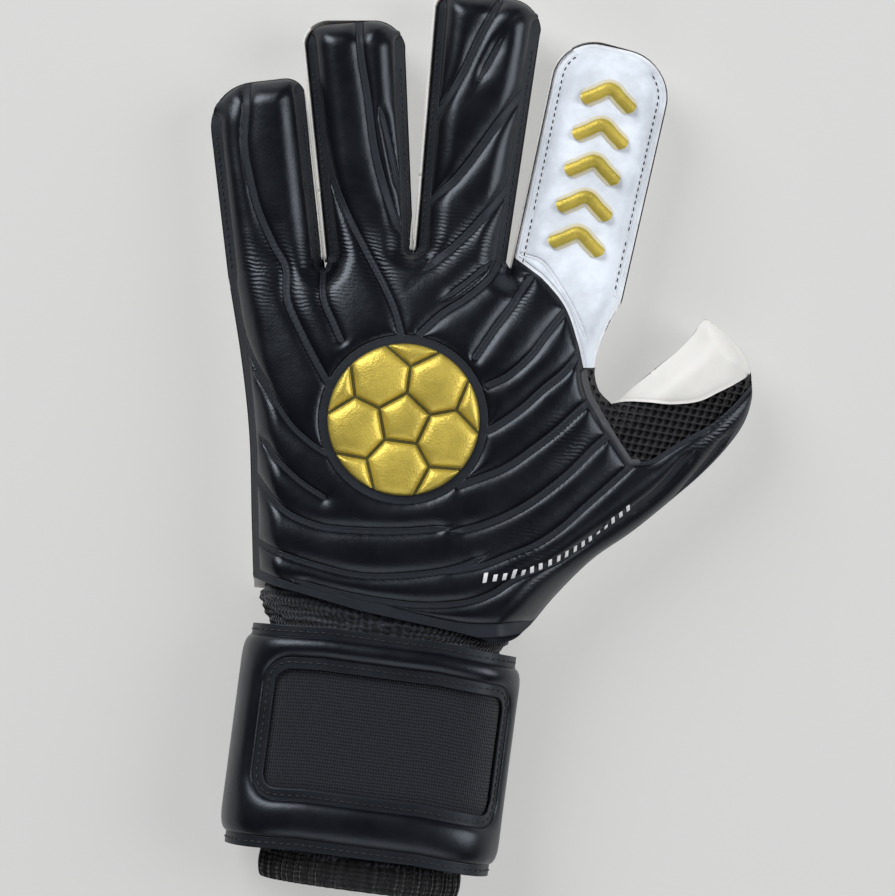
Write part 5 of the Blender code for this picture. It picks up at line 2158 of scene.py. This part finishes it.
    def tube(self, name: str, node: str, span: tuple[float, float], swell: Callable[[Array, Array], Array],
             cells: tuple[int, int], thick: float, material: str) -> bpy.types.Object:
        """A knitted tube about the wrist.

        Args:
            name: the piece's name.
            node: the CAD node that it stands for.
            span: its ends along the wrist.
            swell: from angle shares and places to how far it swells.
            cells: how many cells lie round it and along it.
            thick: the cloth's thickness.
            material: its finish.

        Returns:
            The tube.
        """
        def surface(flat: Array) -> tuple[Array, dict[str, Array]]:
            """The swollen tube."""
            points = self.sleeve_point(flat, swell(flat[:, 0], flat[:, 1]))
            return points, {"across": flat[:, 0] * 190.0, "ahead": flat[:, 1]}

        piece = panel(name, strip_chart(*span), surface, cells, thick, MATERIALS[material], closed=True)
        if node == "bandage_sleeve":
            dress(piece, Slot.KNIT, node, blend=("hand", "cuff", (0.0, -49.0, 18.0), (0.0, -63.0, 18.0)))
        else:
            dress(piece, Slot.KNIT, node, body="cuff")
        return piece

    def build_sleeve(self) -> None:
        """Makes the bandage and its hem."""
        def folds(u: Array, y: Array) -> Array:
            """Uneven folds of the loose knit."""
            wave = np.sin(y * 1.25 + 2.2 * np.sin(u * 25.0) + 1.1 * np.sin(u * 61.0))
            return 0.45 * wave + 0.25 * np.sin(y * 2.9 + u * 40.0)

        def ribs(u: Array, y: Array) -> Array:
            """A rolled hem with ribs."""
            along = np.clip((-131.0 - y) / 10.0, 0, 1)
            return 1.1 * np.sin(math.pi * along) ** 0.6 + 0.28 * np.sin(u * math.tau * 70) - 0.4

        sleeve = self.tube("bandage_sleeve_knit", "bandage_sleeve", (-48.0, -133.0), folds, (200, 170), 1.8,
                           "knit")
        hem = self.tube("bandage_hem_rib", "bandage_hem", (-131.0, -141.0), ribs, (420, 20), 1.8, "hem")

    def slab(self, name: str, node: str, box: tuple[float, float, float, float, float, float], corner: float,
             material: str, slot: Slot, body: str) -> bpy.types.Object:
        """A flat piece with round corners and softened edges.

        Args:
            name: the piece's name.
            node: the CAD node that it stands for.
            box: left, right, near, far, bottom and top.
            corner: the radius of its corners.
            material: its finish.
            slot: its material slot.
            body: the CAD body that it rides on.

        Returns:
            The piece.
        """
        left, right, near, far, low, high = box
        bm = bmesh.new()
        size = Matrix.Diagonal((right - left, far - near, high - low, 1.0))
        middle = Matrix.Translation(((left + right) / 2, (near + far) / 2, (low + high) / 2))
        bmesh.ops.create_cube(bm, size=1.0, matrix=Matrix.Scale(MM, 4) @ middle @ size)
        upright = [edge for edge in bm.edges if abs(edge.verts[0].co.z - edge.verts[1].co.z) > 1e-5]
        bmesh.ops.bevel(bm, geom=upright, offset=corner * MM, segments=6, affect="EDGES", profile=0.5,
                        material=-1)
        rims = [edge for edge in bm.edges if abs(edge.verts[0].co.z - edge.verts[1].co.z) < 1e-6]
        bmesh.ops.bevel(bm, geom=rims, offset=(high - low) * 0.3 * MM, segments=2, affect="EDGES",
                        profile=0.5, material=-1)
        mesh = bpy.data.meshes.new(name)
        bm.to_mesh(mesh)
        bm.free()
        mesh.attributes.new("across", "FLOAT", "POINT").data.foreach_set(
            "value", [vert.co.x / MM for vert in mesh.vertices])
        mesh.attributes.new("ahead", "FLOAT", "POINT").data.foreach_set(
            "value", [vert.co.y / MM for vert in mesh.vertices])
        piece = new_piece(name, mesh, MATERIALS[material])
        dress(piece, slot, node, body=body)
        return piece

    def build_closure(self) -> None:
        """Makes the band, the closing tab and their hook and loop patches."""
        band = self.slab("strap_band_cloth", "strap_band", (-39.1, 39.1, -125.3, -67.3, 4.7, 6.4), 3.0,
                         "weave", Slot.WEAVE, "cuff")
        self.slab("loop_patch_pile", "loop_patch", (-26.0, 28.0, -119.3, -73.3, 3.4, 4.4), 3.0, "hooks",
                  Slot.HOOKS, "cuff")
        tab = self.slab("strap_tab_pad", "strap_tab", (-42.0, 22.0, -122.3, -70.3, 0.0, 1.9), 5.0, "rubber",
                        Slot.RUBBER, "tab")
        self.slab("hook_patch_pile", "hook_patch", (-14.0, 16.0, -117.3, -75.3, 2.2, 3.1), 3.0, "hooks",
                  Slot.HOOKS, "tab")

    def build(self) -> None:
        """Makes the cuff's pieces."""
        self.build_sleeve()
        self.build_strap()
        self.build_window()
        self.build_closure()


@dataclass(frozen=True)
class Softbox:
    """One soft light that faces the glove."""

    name: str
    place: tuple[float, float, float]
    size: float
    power: float
    tint: tuple[float, float, float] = (1.0, 1.0, 1.0)

    def build(self) -> None:
        """Makes the light."""
        lamp = bpy.data.lights.new(self.name, "AREA")
        lamp.shape = "DISK"
        lamp.size = self.size
        lamp.energy = self.power
        lamp.color = self.tint
        light = bpy.data.objects.new(self.name, lamp)
        light.location = self.place
        light.rotation_euler = (-Vector(self.place)).to_track_quat("-Z", "Y").to_euler()
        bpy.context.scene.collection.objects.link(light)


SOFTBOXES = (
    Softbox("key softbox", (-0.95, 0.95, 0.95), 1.1, 23.0),
    Softbox("side softbox", (1.25, 0.3, 0.95), 1.1, 15.0),
    Softbox("near softbox", (0.1, -1.3, 0.95), 1.2, 5.0),
)


@dataclass(frozen=True)
class Studio:
    """Pale floor, soft lights and the camera above the glove."""

    camera_height: float = 0.9
    seen_width: float = 0.2775
    roll: float = 7.5

    def build(self) -> None:
        """Makes floor, lights, world and camera."""
        scene = bpy.context.scene
        scene.view_settings.view_transform = "Standard"
        bm = bmesh.new()
        bmesh.ops.create_grid(bm, x_segments=1, y_segments=1, size=4.0)
        bmesh.ops.translate(bm, verts=bm.verts, vec=(0, 0, -0.0005))
        mesh = bpy.data.meshes.new("floor")
        bm.to_mesh(mesh)
        bm.free()
        paper, _, shader = start_material("pale floor", roughness=0.9, specular_ior_level=0.1)
        shader.inputs["Base Color"].default_value = (0.30, 0.303, 0.30, 1.0)
        shader.inputs["Emission Color"].default_value = (1.0, 1.0, 0.985, 1.0)
        shader.inputs["Emission Strength"].default_value = 0.40
        floor = bpy.data.objects.new("floor", mesh)
        mesh.materials.append(paper)
        scene.collection.objects.link(floor)
        world = bpy.data.worlds.new("studio")
        world.use_nodes = True
        world.node_tree.nodes["Background"].inputs["Color"].default_value = (0.92, 0.95, 1.0, 1.0)
        world.node_tree.nodes["Background"].inputs["Strength"].default_value = 0.06
        scene.world = world
        for softbox in SOFTBOXES:
            softbox.build()
        camera = bpy.data.cameras.new("camera")
        camera.lens = camera.sensor_width * (self.camera_height - 0.03) / self.seen_width
        viewer = bpy.data.objects.new("camera", camera)
        viewer.location = (0.0121, -0.0009, self.camera_height)
        viewer.rotation_euler = (0.0, 0.0, math.radians(self.roll))
        scene.collection.objects.link(viewer)
        scene.camera = viewer


def main() -> None:
    """Builds the glove's sub-assemblies in order."""
    logging.basicConfig(level=logging.INFO)
    Studio().build()
    HandBuild().build()
    for name, finger in FINGERS.items():
        white = name == "index"
        FingerBuild(finger).build(WHITE_SURFACE if white else BLACK_SURFACE, "white" if white else "foam",
                                  Slot.WHITE_PANEL if white else Slot.BLACK_FOAM)
    ThumbBuild().build()
    TrimBuild().build()
    CuffBuild().build()


if __name__ == "__main__":
    main()
